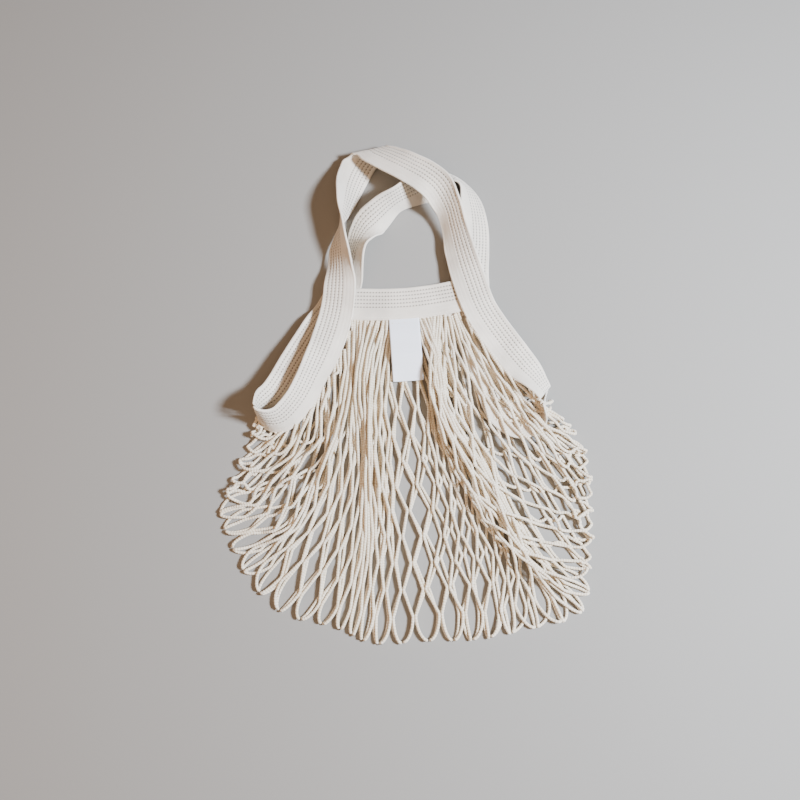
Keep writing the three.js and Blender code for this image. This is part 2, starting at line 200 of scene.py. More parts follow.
# How the back layer follows the front: beside it, but right under it in the open column
BACK_FOLLOWS = 0.85
BACK_SHIFT = (7, 12)
OPEN_COLUMN = 0.48
OPEN_REACH = 0.035

# Slow uneven waves in the dropped net
UNEVEN_WAVES = 6
UNEVEN_SIZE = 4.5
UNEVEN_TURNS = (1, 7)
UNEVEN_EASE = 0.2
UNEVEN_SIDE = 0.08

# How the strands slide to their length
FOLD_HELD_FROM = 0.93
FOLD_HOLD = 0.12
FLOW_HOLD = 0.02
RELAX_ROUNDS = 500
TAUT_PULL = 0.5
SLACK_PUSH = 0.25
JOINT_PULL = 0.45
CORD_STIFFNESS = 0.16
JOINT_SPREAD = 0.94
JOINT_SHARE = 0.1
ROUND_SHARE = 0.85

# How the cords pile up
CORD_STEP = 1.3
CORD_SWELL = 0.07
MAP_CELL = 0.8
MAP_MARGIN = 10
SOFT_REACH = 0.7
SOFT_RISE = 0.8
ARCH_STEPS = 13
ARCH_CURVE = 0.02
HEIGHT_SMOOTHING = 4
HANG_REACH = 70
PILE_SLOPE = 60
FRONT_PILE = 8
BACK_PILE = 4

# How the tape lies: waves along its edges, its rounded and beaded rims, and its grooves
TAPE_WAVE = 55
TAPE_WAVE_PARTS = (0.6, 1.0, 1.7)
TAPE_RIPPLE = 0.9
BAND_RIPPLE = 0.4
RIM_PLACE = 0.92
RIM_REACH = 0.04
RIM_RISE = 0.35
RIM_STEPS = (0.5, 0.13, 0)
GROOVE_SHARPNESS = 4

# How the label lies
LABEL_TUCK = 3
LABEL_STEP = 1.5
LABEL_OUT = 1
LABEL_RISE = 8
LABEL_LIFT = 1
LABEL_SMOOTHING = 12
LABEL_FEEL = 2
LABEL_CLEARANCE = 0.6
LABEL_CURL = 1.2
LABEL_CURL_FROM = 40
LABEL_CURL_REACH = 22
LABEL_CURL_SHARPNESS = 3
LABEL_EDGE_THINNING = 0.9
LABEL_EDGE_SHARPNESS = 20

# Sewing along the bands: width, height and length of a stitch, and where the seam runs
STITCH_PITCH = 3.2
STITCH_SIZE = (0.6, 0.5, 2.8)
SEAM_STEP = 2
SEAM_SHARE = 0.84
SEAM_INSET = 14

# Fineness of the lines and meshes that the shapes are worked out on
TINY = 1e-6
CURVE_POINTS = 200
CURVE_STEPS = 20
LOOP_STEPS = 4000
FLOW_STEPS = 30
EDGE_POINTS = 300
EDGE_SKIP = 6
BAND_SKIP = 8
NODE_STEPS = 4
KNIT_PLACES = 53
LABEL_PLACES = 25
LABEL_FEELERS = 9

# Stage, in metres, with the camera's sensor in millimetres
FLOOR_SIZE = 4
FLOOR_CELLS = 8
CAMERA_TARGET = (-0.0079, -0.0169, 0)
SENSOR_WIDTH = 36
KEY_PLACE = (0.94, -0.12, 1.04)
KEY_SIZE = 0.22
KEY_COLOUR = "#e8f1ff"
FILL_PLACE = (-0.3, -0.4, 1.6)
FILL_SIZE = 2
FILL_COLOUR = "#ffd2a8"
BOUNCE_PLACE = (-1.2, -0.1, 0.5)
BOUNCE_SIZE = 1.2
BOUNCE_COLOUR = "#ffc490"
SKY_COLOUR = "#dad6d0"


def linear(hex_colour):
    """Linear RGBA of an sRGB hex colour."""
    channels = [int(hex_colour[i:i + 2], 16) / 255 for i in (1, 3, 5)]
    curve = [c / 12.92 if c <= 0.04045 else ((c + 0.055) / 1.055) ** 2.4 for c in channels]
    return (*curve, 1.0)


def unit(vectors):
    """Vectors of length one."""
    return vectors / np.maximum(np.linalg.norm(vectors, axis=-1, keepdims=True), TINY)


def smooth(share):
    """Eases a share of 0 to 1 in and out."""
    held = np.clip(share, 0, 1)
    return held * held * (3 - 2 * held)


def fade(share):
    """One at 0, falling to nothing at 1."""
    return np.maximum(0, 1 - share) ** 2


def spline(points, places, is_closed, power):
    """Points on a Catmull-Rom curve. places count the given points from 0."""
    points = np.asarray(points, float)
    places = np.asarray(places, float)
    count = len(points)
    if is_closed:
        first = np.floor(places).astype(int)
        near = [points[(first + k) % count] for k in (-1, 0, 1, 2)]
    else:
        first = np.clip(np.floor(places).astype(int), 0, count - 2)
        longer = np.vstack([2 * points[0] - points[1], points, 2 * points[-1] - points[-2]])
        near = [longer[first + k] for k in range(4)]
    before, start, end, after = near
    share = (places - first)[..., None]
    gaps = []
    for a, b in ((before, start), (start, end), (end, after)):
        gaps.append(np.maximum(((b - a) ** 2).sum(-1, keepdims=True) ** power, TINY))
    d0, d1, d2 = gaps
    leave = ((start - before) / d0 - (end - before) / (d0 + d1) + (end - start) / d1) * d1
    arrive = ((end - start) / d1 - (after - start) / (d1 + d2) + (after - end) / d2) * d1
    square = 3 * (end - start) - 2 * leave - arrive
    cube = 2 * (start - end) + leave + arrive
    return start + share * (leave + share * (square + share * cube))


def run_lengths(points):
    """How far each point lies along a line of points."""
    steps = np.linalg.norm(np.diff(points, axis=0), axis=1)
    return np.concatenate([[0], np.cumsum(steps)])


def respaced(points, spots):
    """Points at the given distances along a line of points."""
    run = run_lengths(points)
    return np.stack([np.interp(spots, run, axis) for axis in points.T], axis=-1)


def even_curve(points):
    """A smooth open curve through points, as evenly spaced points."""
    points = np.asarray(points, float)
    places = np.linspace(0, len(points) - 1, CURVE_STEPS * len(points))
    dense = spline(points, places, False, CENTRIPETAL)
    return respaced(dense, np.linspace(0, run_lengths(dense)[-1], CURVE_POINTS))


def on_curve(curve, share):
    """Points at shares of 0 to 1 of an evenly spaced curve."""
    place = np.clip(share, 0, 1) * (len(curve) - 1)
    first = np.clip(np.floor(place).astype(int), 0, len(curve) - 2)
    part = (place - first)[..., None]
    return curve[first] * (1 - part) + curve[first + 1] * part


def placed(points):
    """Points of the lying bag in the frame, in metres."""
    return (np.asarray(points) + LAY_SHIFT) * MM


# The tape

LOOP_MIDDLES = np.array([(row.x, row.y, row.z) for row in TAPE_LOOP], float)
LOOP_AIMS = np.radians([row.aim for row in TAPE_LOOP])
LOOP_LIFTS = np.radians([row.lift for row in TAPE_LOOP])
LOOP_ACROSS = np.stack([
    np.cos(LOOP_LIFTS) * np.cos(LOOP_AIMS),
    np.cos(LOOP_LIFTS) * np.sin(LOOP_AIMS),
    np.sin(LOOP_LIFTS),
], axis=-1)


def loop_place(name, rows_on=0):
    """Where a named row of the tape loop stands."""
    return [row.at for row in TAPE_LOOP].index(name) + rows_on


def tape_lines(places, width, thickness):
    """Middle, half width and face direction of the tape at places of its loop."""
    step = 0.005
    middle = spline(LOOP_MIDDLES, places, True, CENTRIPETAL)
    ahead = spline(LOOP_MIDDLES, places + step, True, CENTRIPETAL)
    behind = spline(LOOP_MIDDLES, places - step, True, CENTRIPETAL)
    along = unit(ahead - behind)
    across = unit(spline(LOOP_ACROSS, places, True, UNIFORM))
    face = unit(np.cross(across, along))
    lean = (across * along).sum(-1)
    slant = np.minimum(1 / np.sqrt(1 - lean ** 2), LONGEST_SLANT)
    across = across * (slant * width / 2)[:, None]
    depth = np.abs(across[:, 2]) + np.abs(face[:, 2]) * thickness / 2
    middle[:, 2] = np.maximum(middle[:, 2], depth + FLOOR_GAP)
    return middle, across, face


def even_places(start, end, step):
    """Places of the tape loop that stand about a step apart along it."""
    dense = np.linspace(start, end, LOOP_STEPS)
    run = run_lengths(spline(LOOP_MIDDLES, dense, True, CENTRIPETAL))
    count = int(round(run[-1] / step)) + 1
    return np.interp(np.linspace(0, run[-1], count), run, dense)


def ripple(run, rng, wave, size):
    """An uneven wave along a length, made of a few sines."""
    total = np.zeros_like(run)
    for part in TAPE_WAVE_PARTS:
        turns = run / (wave * part)
        total += np.sin(turns * 2 * np.pi + rng.uniform(0, 2 * np.pi)) / len(TAPE_WAVE_PARTS)
    return total * size


def knit_profile(tape, thickness):
    """Places across a tape from rim to rim, -1 to 1, and the height of its knitted face there."""
    edge = thickness * MM / tape.width
    inner = np.linspace(-1 + edge, 1 - edge, KNIT_PLACES)
    rim = 1 - edge * np.array(RIM_STEPS)
    places = np.concatenate([-rim[::-1], inner, rim])
    past = np.clip((np.abs(places) - (1 - edge)) / edge, 0, 1)
    column = ((places + 1) / 2 * tape.width - tape.first_groove) / tape.groove_pitch
    is_grooved = np.abs(column - (tape.grooves - 1) / 2) < tape.grooves / 2
    groove = np.where(is_grooved, np.cos(np.pi * column) ** GROOVE_SHARPNESS, 0)
    rim_bead = RIM_RISE * np.exp(-((np.abs(places) - RIM_PLACE) / RIM_REACH) ** 2)
    heights = thickness / 2 - tape.relief / MM * groove + rim_bead
    return places, np.sqrt(1 - past ** 2) * heights


def face_outwards(mesh):
    """Turns every face of a closed mesh outwards and shades it smooth."""
    edit = bmesh.new()
    edit.from_mesh(mesh)
    bmesh.ops.recalc_face_normals(edit, faces=edit.faces)
    edit.to_mesh(mesh)
    edit.free()
    mesh.shade_smooth()


def ribbon_object(name, lines, profile, bow, material):
    """A closed strip through cross lines. bow lifts its face at each line and place."""
    middle, across, face = lines
    places, heights = profile
    count = len(places)
    flat = middle[:, None] + across[:, None] * places[None, :, None]
    upper = flat + face[:, None] * (bow + heights)[..., None]
    lower = flat + face[:, None] * (bow - heights)[..., None]
    rings = np.concatenate([upper, lower[:, -2:0:-1]], axis=1)
    rings[..., 2] = np.maximum(rings[..., 2], FLOOR_GAP)
    ring = rings.shape[1]

    faces = []
    for i in range(len(rings) - 1):
        for k in range(ring):
            after = (k + 1) % ring
            faces.append((i * ring + k, i * ring + after, (i + 1) * ring + after, (i + 1) * ring + k))
    under = [0] + [2 * count - 2 - k for k in range(1, count - 1)] + [count - 1]
    for start in (0, (len(rings) - 1) * ring):
        for k in range(count - 1):
            corners = [k, k + 1, under[k + 1], under[k]]
            faces.append([start + corner for corner in dict.fromkeys(corners)])

    mesh = bpy.data.meshes.new(name)
    mesh.from_pydata(placed(rings.reshape(-1, 3)).tolist(), [], faces)
    width = 2 * np.linalg.norm(across, axis=1).mean()
    run = run_lengths(middle) / width
    across_share = np.concatenate([places, places[-2:0:-1]]) / 2 + 0.5
    spots = np.stack(np.broadcast_arrays(across_share[None, :], run[:, None]), axis=-1)
    spots = spots.reshape(-1, 2)
    corners = np.empty(len(mesh.loops), int)
    mesh.loops.foreach_get("vertex_index", corners)
    mesh.uv_layers.new(name="knit").data.foreach_set("uv", spots[corners].ravel())
    face_outwards(mesh)
    mesh.materials.append(material)
    piece = bpy.data.objects.new(name, mesh)
    bpy.context.scene.collection.objects.link(piece)
    return piece


def band_lines(rows, width, step):
    """Middle, half width and face direction of a mouth band."""
    middle = even_curve(rows)
    length = run_lengths(middle)[-1]
    middle = respaced(middle, np.linspace(0, length, int(length / step) + 1))
    along = unit(np.gradient(middle, axis=0))
    up = np.array([0.0, 0.0, 1.0])
    across = unit(np.cross(along, up)) * width / 2
    return middle, across, np.broadcast_to(up, middle.shape)


# The net

# plan: place seen from above. held, most: least and greatest height. is_front: which layer.
# down: share of the way from mouth to fold. height: where a strand came to lie
Lie = namedtuple("Lie", "plan held most is_front down")
StrandLine = namedtuple("StrandLine", "plan held most is_front height")


class NetSheet:
    """The net, sewn to both halves of the mouth and folded along the outline of the lying bag."""

    def __init__(self, strands, rows, tape_width, tape_thickness):
        self.rows = rows
        self.tape = (tape_width, tape_thickness)
        left = loop_place("left seam")
        right = loop_place("right seam")
        self.front = self.mouth(
            FRONT_BAND,
            (loop_place("front left leg foot"), left),
            (loop_place("front right leg foot"), right))
        self.back = self.mouth(
            BACK_BAND,
            (loop_place("under back band, left"), left + len(TAPE_LOOP)),
            (loop_place("under back band, right"), right))
        self.fold = even_curve([self.front[0][0, :2], *FOLD_LINE, self.front[2][-1, :2]])
        along = unit(np.gradient(self.fold, axis=0))
        self.fold_inwards = np.column_stack([-along[:, 1], along[:, 0]])
        column = (np.arange(strands) + 0.5) / strands
        past = np.maximum(np.maximum(column - DRIFT_RIGHT, DRIFT_LEFT - column), 0)
        drift = FOLD_DRIFT * strands * past
        self.fold_row = rows / 2 - np.round(drift * ROW_STEPS) / ROW_STEPS
        self.first = np.maximum(self.fold_row - self.rows_to_fold(self.front, column, FRONT_SLACK), 0)
        self.last = self.fold_row + self.rows_to_fold(self.back, column, BACK_SLACK)

    def mouth(self, band, left, right):
        """One half of the mouth: the left tape edge, the line under the band and the right tape edge."""
        middle, across, _ = band_lines(band, BAND_GATHER_WIDTH, 1)
        under = middle + across - np.array([0, 0, BAND_NET_DROP])
        ends = []
        sides = []
        for start, end in (left, right):
            middle, across, _ = tape_lines(np.linspace(start, end, EDGE_POINTS), *self.tape)
            edge = middle + across * SEWN_SHARE
            away = np.linalg.norm(edge[:, None, :2] - under[None, :, :2], axis=-1)
            on_edge, on_band = np.unravel_index(away.argmin(), away.shape)
            ends.append(on_band)
            sides.append(even_curve(edge[on_edge::EDGE_SKIP]))
        between = even_curve(under[ends[0]:ends[1] + 1:BAND_SKIP])
        return sides[0][::-1], between, sides[1]

    def sewn_at(self, mouth, column):
        """Places on one half of the mouth that columns of the net are sewn to."""
        gather = np.array(GATHER)
        share = np.interp(column, gather[:, 0], gather[:, 1])[..., None]
        left, band, right = [on_curve(part, share[..., 0] - i) for i, part in enumerate(mouth)]
        return np.where(share < 1, left, np.where(share < 2, band, right))

    def flow(self, mouth, column, down):
        """Plan places on the lines that the net hangs along, which bend to meet the fold squarely."""
        sewn = self.sewn_at(mouth, column)[..., :2]
        folded = on_curve(self.fold, column)
        reach = np.linalg.norm(folded - sewn, axis=-1, keepdims=True)
        rightward = smooth((column - SQUARE_FROM) / SQUARE_EASE)
        square = FOLD_SQUARE + (RIGHT_SQUARE - FOLD_SQUARE) * rightward
        bend = folded + on_curve(self.fold_inwards, column) * reach * square[..., None]
        down = down[..., None]
        return sewn * (1 - down) ** 2 + bend * 2 * down * (1 - down) + folded * down ** 2

    def rows_to_fold(self, mouth, column, slack):
        """Rows of joints from one half of the mouth to the fold."""
        lines = self.flow(mouth, column[:, None], np.linspace(0, 1, FLOW_STEPS)[None, :])
        lengths = np.linalg.norm(np.diff(lines, axis=1), axis=-1).sum(axis=1)
        slack = slack * (1 + LEFT_SLACK * smooth((LEFT_SIDE - column) / LEFT_EASE))
        rows = np.round(lengths * slack / ROW_REACH * ROW_STEPS) / ROW_STEPS
        return np.clip(rows, LEAST_ROWS, self.rows / 2)

    def lay(self, column, row):
        """How points of the net lie before its strands slide to their length."""
        first = self.first[:, None]
        last = self.last[:, None]
        fold_row = self.fold_row[:, None]
        is_front = row <= fold_row
        down = np.where(is_front, (row - first) / (fold_row - first), (last - row) / (last - fold_row))
        down = np.clip(down, 0, 1)
        follows = np.where(is_front, 1, BACK_FOLLOWS)
        drawn = column
        for bunch in BUNCHES:
            near = np.exp(-((drawn - bunch.fold) / bunch.reach) ** 2)
            pull = bunch.pull + (bunch.end_pull - bunch.pull) * smooth(2 * down - 1)
            drawn = drawn + (bunch.fold - drawn) * pull * near * smooth(down / BUNCH_EASE) * follows
        front = self.sewn_at(self.front, drawn)
        back = self.sewn_at(self.back, drawn)
        sewn = np.where(is_front[..., None], front, back)
        front = self.flow(self.front, drawn, down)
        back = self.flow(self.back, drawn, down)
        plan = np.where(is_front[..., None], front, back)
        for sway in SWAYS:
            near = np.exp(-((drawn - sway.fold) / sway.wide) ** 2 - ((down - sway.down) / sway.tall) ** 2)
            near = near * np.clip(down / SWAY_EASE, 0, 1) * follows
            plan = plan + near[..., None] * np.array([sway.x, sway.y])
        aside = np.where(is_front, 0, smooth((1 - down) / SHIFT_EASE) * smooth(down / SHIFT_EASE))
        aside = aside * (1 - np.exp(-((column - OPEN_COLUMN) / OPEN_REACH) ** 2))
        plan = plan + aside[..., None] * np.array(BACK_SHIFT)

        away = np.linalg.norm(plan - sewn[..., :2], axis=-1)
        held = sewn[..., 2] * fade(away / HANG_REACH)
        pile = np.where(is_front, FRONT_PILE, BACK_PILE)
        low = np.where(is_front, FRONT_BAND[0][2], BACK_BAND[0][2]) - BAND_NET_DROP
        most = np.maximum(held, low + np.minimum(PILE_SLOPE * down, pile))
        return Lie(plan, held, most, is_front, down)


def joint_columns(strands, rows):
    """Column share of each strand at each joint row. Neighbours meet in turn to the right and left."""
    strand = np.arange(strands)[:, None]
    row = np.arange(rows + 1)[None, :]
    side = np.where((strand + row) % 2 == 0, 1, -1)
    return (strand + 0.5 + side * (0.5 - JOINT_SHARE)) / strands


def relaxed(start, fixed, hold, row_length, joint_gap):
    """Lets the strands slide in plan to their true length, joined side by side at the joints."""
    points = start.copy()
    strands, nodes = points.shape[:2]
    length = row_length / ROW_STEPS
    left = []
    node = []
    for row in range((nodes - 1) // ROW_STEPS + 1):
        spot = row * ROW_STEPS
        first = np.arange(row % 2, strands - 1, 2)
        first = first[~fixed[first, spot] & ~fixed[first + 1, spot]]
        left.append(first)
        node.append(np.full(len(first), spot))
    left = np.concatenate(left)
    node = np.concatenate(node)
    for _ in range(RELAX_ROUNDS):
        for parity in (0, 1):
            ends = points[:, parity + 1::2]
            starts = points[:, parity::2][:, :ends.shape[1]]
            step = ends - starts
            size = np.maximum(np.linalg.norm(step, axis=-1, keepdims=True), TINY)
            excess = (size - length) / size
            move = step * excess * np.where(excess > 0, TAUT_PULL, SLACK_PUSH)
            starts += move
            ends -= move
        straight = (points[:, :-2] + points[:, 2:]) / 2
        points[:, 1:-1] += CORD_STIFFNESS * (straight - points[:, 1:-1])
        apart = points[left + 1, node] - points[left, node]
        size = np.maximum(np.linalg.norm(apart, axis=-1, keepdims=True), TINY)
        move = apart * (size - joint_gap) / size * JOINT_PULL
        points[left, node] += move
        points[left + 1, node] -= move
        points += hold[..., None] * (start - points)
        points[fixed] = start[fixed]
    return points


def round_at_fold(plan, sheet, tip_columns):
    """Rounds the meshes along the fold, where the slack cord turns without a corner."""
    middle = sheet.rows // 2 * ROW_STEPS
    turn = np.linspace(0, np.pi / 2, ROW_STEPS + 1)[None, :, None]
    inwards = on_curve(sheet.fold_inwards, tip_columns)[:, None]
    tip = plan[:, middle][:, None]
    share = np.where(sheet.fold_row == sheet.rows / 2, ROUND_SHARE, 0)[:, None, None]
    for way in (-1, 1):
        nodes = middle + way * np.arange(ROW_STEPS, -1, -1)
        reach = plan[:, nodes[0]][:, None] - tip
        inward = (reach * inwards).sum(axis=-1, keepdims=True) * inwards
        arc = tip + (reach - inward) * np.cos(turn) + inward * (1 - np.sin(turn))
        plan[:, nodes] += share * (arc - plan[:, nodes])


class HeightMap:
    """Top of what already lies on the floor, on a square grid seen from above."""

    def __init__(self, low, high, cell):
        self.low = np.asarray(low, float)
        self.cell = cell
        shape = np.ceil((np.asarray(high) - self.low) / cell).astype(int) + 1
        self.top = np.zeros(shape)

    def cells(self, points):
        """Grid cells of plan points."""
        index = np.round((points - self.low) / self.cell).astype(int)
        return np.clip(index, 0, np.array(self.top.shape) - 1)

    def disc(self, radius):
        """Cell steps within a radius and their distance."""
        reach = int(np.ceil(radius / self.cell))
        steps = [(i, j) for i in range(-reach, reach + 1) for j in range(-reach, reach + 1)]
        away = [(step, self.cell * np.hypot(*step)) for step in steps]
        return [(step, distance) for step, distance in away if distance <= radius]

    def under(self, points, radius):
        """Highest top within a radius of each point."""
        index = self.cells(points)
        best = np.zeros(len(points))
        for step, _ in self.disc(radius):
            near = np.clip(index + step, 0, np.array(self.top.shape) - 1)
            best = np.maximum(best, self.top[near[:, 0], near[:, 1]])
        return best

    def cover(self, points, heights, radius):
        """Lays a round cord of that radius over the map."""
        index = self.cells(points)
        for step, away in self.disc(radius):
            near = np.clip(index + step, 0, np.array(self.top.shape) - 1)
            np.maximum.at(self.top, (near[:, 0], near[:, 1]), heights + np.sqrt(radius ** 2 - away ** 2))


def draped_over(heights, step):
    """A cord's heights where it arches over its highest supports instead of breaking."""
    best = heights.copy()
    for gap in range(1, ARCH_STEPS):
        drop = ARCH_CURVE * (gap * step) ** 2
        best[gap:] = np.maximum(best[gap:], heights[:-gap] - drop)
        best[:-gap] = np.maximum(best[:-gap], heights[gap:] - drop)
    return best


def unevenness(column, row, down, rng):
    """Slow uneven shifts of the plan that a dropped net has, none at its sewn edges."""
    shift = np.zeros(column.shape + (2,))
    for _ in range(UNEVEN_WAVES):
        turns = rng.uniform(*UNEVEN_TURNS, 2)
        phase = rng.uniform(0, 2 * np.pi, 2)
        wave = 2 * np.pi * (turns[0] * column + turns[1] * row[None, :])
        shift += np.stack([np.sin(wave + phase[0]), np.sin(wave + phase[1])], axis=-1)
    window = smooth(down / UNEVEN_EASE) * smooth(column / UNEVEN_SIDE)
    window = window * smooth((1 - column) / UNEVEN_SIDE)
    return shift * (UNEVEN_SIZE / np.sqrt(UNEVEN_WAVES)) * window[..., None]


def slid_strands(sheet, strands, row_length, cord_width, rng):
    """Plan of the strands' nodes after they slid to their length, and how they lay before."""
    rows = sheet.rows
    row = np.arange(rows * ROW_STEPS + 1) / ROW_STEPS
    base = np.minimum(row.astype(int), rows - 1)
    at_joint = joint_columns(strands, rows)
    ease = smooth(row - base)
    column = at_joint[:, base] * (1 - ease) + at_joint[:, base + 1] * ease
    lie = sheet.lay(column, np.broadcast_to(row, column.shape))
    start = lie.plan + unevenness(column, row / rows, lie.down, rng)
    is_joint = np.arange(len(row)) % ROW_STEPS == 0
    hold = np.where(lie.down > FOLD_HELD_FROM, FOLD_HOLD, np.where(is_joint, FLOW_HOLD, 0))
    is_sewn = (row <= sheet.first[:, None]) | (row >= sheet.last[:, None])
    plan = relaxed(start, is_sewn, hold, row_length, JOINT_SPREAD * cord_width)
    round_at_fold(plan, sheet, at_joint[:, rows // 2])
    return plan, lie


def strand_line(plan, held, most, is_front):
    """A strand as evenly spaced points, from its free nodes and what they are held to."""
    nodes = np.arange(len(plan))
    places = np.linspace(0, nodes[-1], NODE_STEPS * len(nodes))
    dense = spline(plan, places, False, CENTRIPETAL)
    run = run_lengths(dense)
    spots = np.linspace(0, run[-1], int(run[-1] / CORD_STEP))
    node_run = np.interp(nodes, places, run)
    return StrandLine(
        plan=respaced(dense, spots),
        held=np.interp(spots, node_run, held),
        most=np.interp(spots, node_run, most),
        is_front=np.interp(spots, node_run, is_front.astype(float)) > 0.5,
        height=np.zeros(len(spots)),
    )


def cover_with_tape(heights, width, thickness):
    """Adds the right strap of the back handle, which the front net hangs over, to the map of heights."""
    places = even_places(loop_place("right seam"), loop_place("back band foot, right"), 1)
    middle, across, _ = tape_lines(places, width, thickness)
    for share in np.linspace(-1, 1, int(width)):
        line = middle + across * share
        heights.cover(line[:, :2], line[:, 2] + thickness / 2, MAP_CELL)


def pile_up(lines, radius, tape_width, tape_thickness):
    """Lays the back layer, the strap and the front layer on each other. Returns the map of their tops."""
    low = np.min([line.plan.min(axis=0) for line in lines], axis=0) - MAP_MARGIN
    high = np.max([line.plan.max(axis=0) for line in lines], axis=0) + MAP_MARGIN
    heights = HeightMap(low, high, MAP_CELL)
    for is_front in (False, True):
        if is_front:
            cover_with_tape(heights, tape_width, tape_thickness)
        for line in lines[::2] + lines[1::2]:
            part = line.is_front == is_front
            support = heights.under(line.plan[part], radius * SOFT_REACH)
            height = np.maximum(support + radius * SOFT_RISE, radius)
            height = draped_over(np.maximum(height, line.held[part]), CORD_STEP)
            height = np.minimum(height, line.most[part])
            line.height[part] = height
            heights.cover(line.plan[part], height, radius)
    return heights


@functools.lru_cache(maxsize=1)
def settled_net(strands, rows, row_length, cord_width, tape_width, tape_thickness, seed):
    """Lines of the net's strands as they lie, and the map of heights under the label."""
    rng = np.random.default_rng(seed)
    sheet = NetSheet(strands, rows, tape_width, tape_thickness)
    plan, lie = slid_strands(sheet, strands, row_length, cord_width, rng)
    lines = []
    for strand in range(strands):
        first = round(sheet.first[strand] * ROW_STEPS)
        last = round(sheet.last[strand] * ROW_STEPS)
        free = (strand, slice(first, last + 1))
        lines.append(strand_line(plan[free], lie.held[free], lie.most[free], lie.is_front[free]))

    radius = cord_width / 2
    heights = pile_up(lines, radius, tape_width, tape_thickness)
    lowest = radius * (1 + CORD_SWELL) + FLOOR_GAP
    strands_in_space = []
    for line in lines:
        height = line.height
        for _ in range(HEIGHT_SMOOTHING):
            height[1:-1] = (height[:-2] + 2 * height[1:-1] + height[2:]) / 4
        strands_in_space.append(np.column_stack([line.plan, np.maximum(height, lowest)]))
    return strands_in_space, heights


def lying_net(scene):
    """The settled net of a scene's settings, in millimetres."""
    net = scene.net_bag_net
    tape = scene.net_bag_tape
    return settled_net(
        net.strands, net.rows, net.row_length / MM, net.cord / MM,
        tape.width / MM, tape.thickness / MM, net.seed)


# The label


def label_lines(width, length, heights):
    """Run, and middle, half width and face direction, of the label that hangs from the band on the net."""
    heading = np.radians(LABEL_HEADING)
    along = np.array([np.cos(heading), np.sin(heading)])
    across = np.array([-along[1], along[0]])
    run = np.arange(0, length + LABEL_TUCK, LABEL_STEP) - LABEL_TUCK
    plan = np.array(LABEL_TOP) + run[:, None] * along
    support = np.zeros(len(run))
    for share in np.linspace(-0.5, 0.5, LABEL_FEELERS):
        support = np.maximum(support, heights.under(plan + across * share * width, LABEL_FEEL))
    lies = draped_over(support, LABEL_STEP) + LABEL_CLEARANCE
    out = smooth((run - LABEL_OUT) / LABEL_RISE)
    rise = (FRONT_BAND[0][2] + LABEL_LIFT) * (1 - out) + lies * out
    for _ in range(LABEL_SMOOTHING):
        rise[1:-1] = (rise[:-2] + rise[2:]) / 2
    middle = np.column_stack([plan, rise])
    tangent = unit(np.gradient(middle, axis=0))
    side = np.column_stack([np.broadcast_to(across, plan.shape), np.zeros(len(plan))])
    face = unit(np.cross(side, tangent))
    face = face * np.sign(face[:, 2:])
    return run, (middle, side * width / 2, face)


# Node trees


def add_node(tree, kind, inputs=None, **settings):
    """Adds a node with its settings, and sets or links its inputs."""
    node = tree.nodes.new(kind)
    for name, value in settings.items():
        setattr(node, name, value)
    for key, value in (inputs or {}).items():
        if isinstance(value, bpy.types.NodeSocket):
            tree.links.new(value, node.inputs[key])
        else:
            node.inputs[key].default_value = value
    return node


def new_tree(name, sizes):
    """An empty geometry tree with its geometry sockets and the named inputs."""
    tree = bpy.data.node_groups.new(name, "GeometryNodeTree")
    tree.interface.new_socket("Geometry", in_out="INPUT", socket_type="NodeSocketGeometry")
    tree.interface.new_socket("Geometry", in_out="OUTPUT", socket_type="NodeSocketGeometry")
    for size, kind in sizes.items():
        tree.interface.new_socket(size, in_out="INPUT", socket_type=kind)
    return tree


def finish_tree(tree, geometry, material):
    """Ends a tree with real, smooth, finished geometry."""
    geometry = add_node(tree, "GeometryNodeRealizeInstances", {"Geometry": geometry}).outputs[0]
    geometry = add_node(tree, "GeometryNodeSetShadeSmooth", {"Geometry": geometry}).outputs[0]
    geometry = add_node(tree, "GeometryNodeSetMaterial", {
        "Geometry": geometry, "Material": material,
    }).outputs[0]
    add_node(tree, "NodeGroupOutput", {"Geometry": geometry})


def cord_tree(material):
    """Knitted cord along every edge path of a mesh. Its attribute swell thickens the loops of the knit."""
    tree = new_tree("knitted cord", {"Radius": "NodeSocketFloat", "Sides": "NodeSocketInt"})
    group = add_node(tree, "NodeGroupInput").outputs
    paths = add_node(tree, "GeometryNodeMeshToCurve", {"Mesh": group["Geometry"]}).outputs[0]
    length = add_node(tree, "GeometryNodeSplineParameter").outputs["Length"]
    paths = add_node(tree, "GeometryNodeStoreNamedAttribute", {
        "Geometry": paths, "Name": "run", "Value": length,
    }, data_type="FLOAT", domain="POINT").outputs[0]
    section = add_node(tree, "GeometryNodeCurvePrimitiveCircle", {
        "Resolution": group["Sides"], "Radius": group["Radius"],
    }).outputs["Curve"]
    swell = add_node(tree, "GeometryNodeInputNamedAttribute", {"Name": "swell"}, data_type="FLOAT").outputs[0]
    cords = add_node(tree, "GeometryNodeCurveToMesh", {
        "Curve": paths, "Profile Curve": section, "Scale": swell, "Fill Caps": True,
    }).outputs[0]
    finish_tree(tree, cords, material)
    return tree


def stitch_tree(material):
    """A row of short stitches along every edge path of a mesh."""
    tree = new_tree("row of stitches", {"Pitch": "NodeSocketFloat", "Stitch": "NodeSocketVector"})
    group = add_node(tree, "NodeGroupInput").outputs
    paths = add_node(tree, "GeometryNodeMeshToCurve", {"Mesh": group["Geometry"]}).outputs[0]
    spots = add_node(tree, "GeometryNodeCurveToPoints", {
        "Curve": paths, "Length": group["Pitch"],
    }, mode="LENGTH").outputs
    ball = add_node(tree, "GeometryNodeMeshIcoSphere", {"Radius": 0.5, "Subdivisions": 2}).outputs[0]
    stitches = add_node(tree, "GeometryNodeInstanceOnPoints", {
        "Points": spots["Points"], "Instance": ball,
        "Rotation": spots["Rotation"], "Scale": group["Stitch"],
    }).outputs[0]
    finish_tree(tree, stitches, material)
    return tree


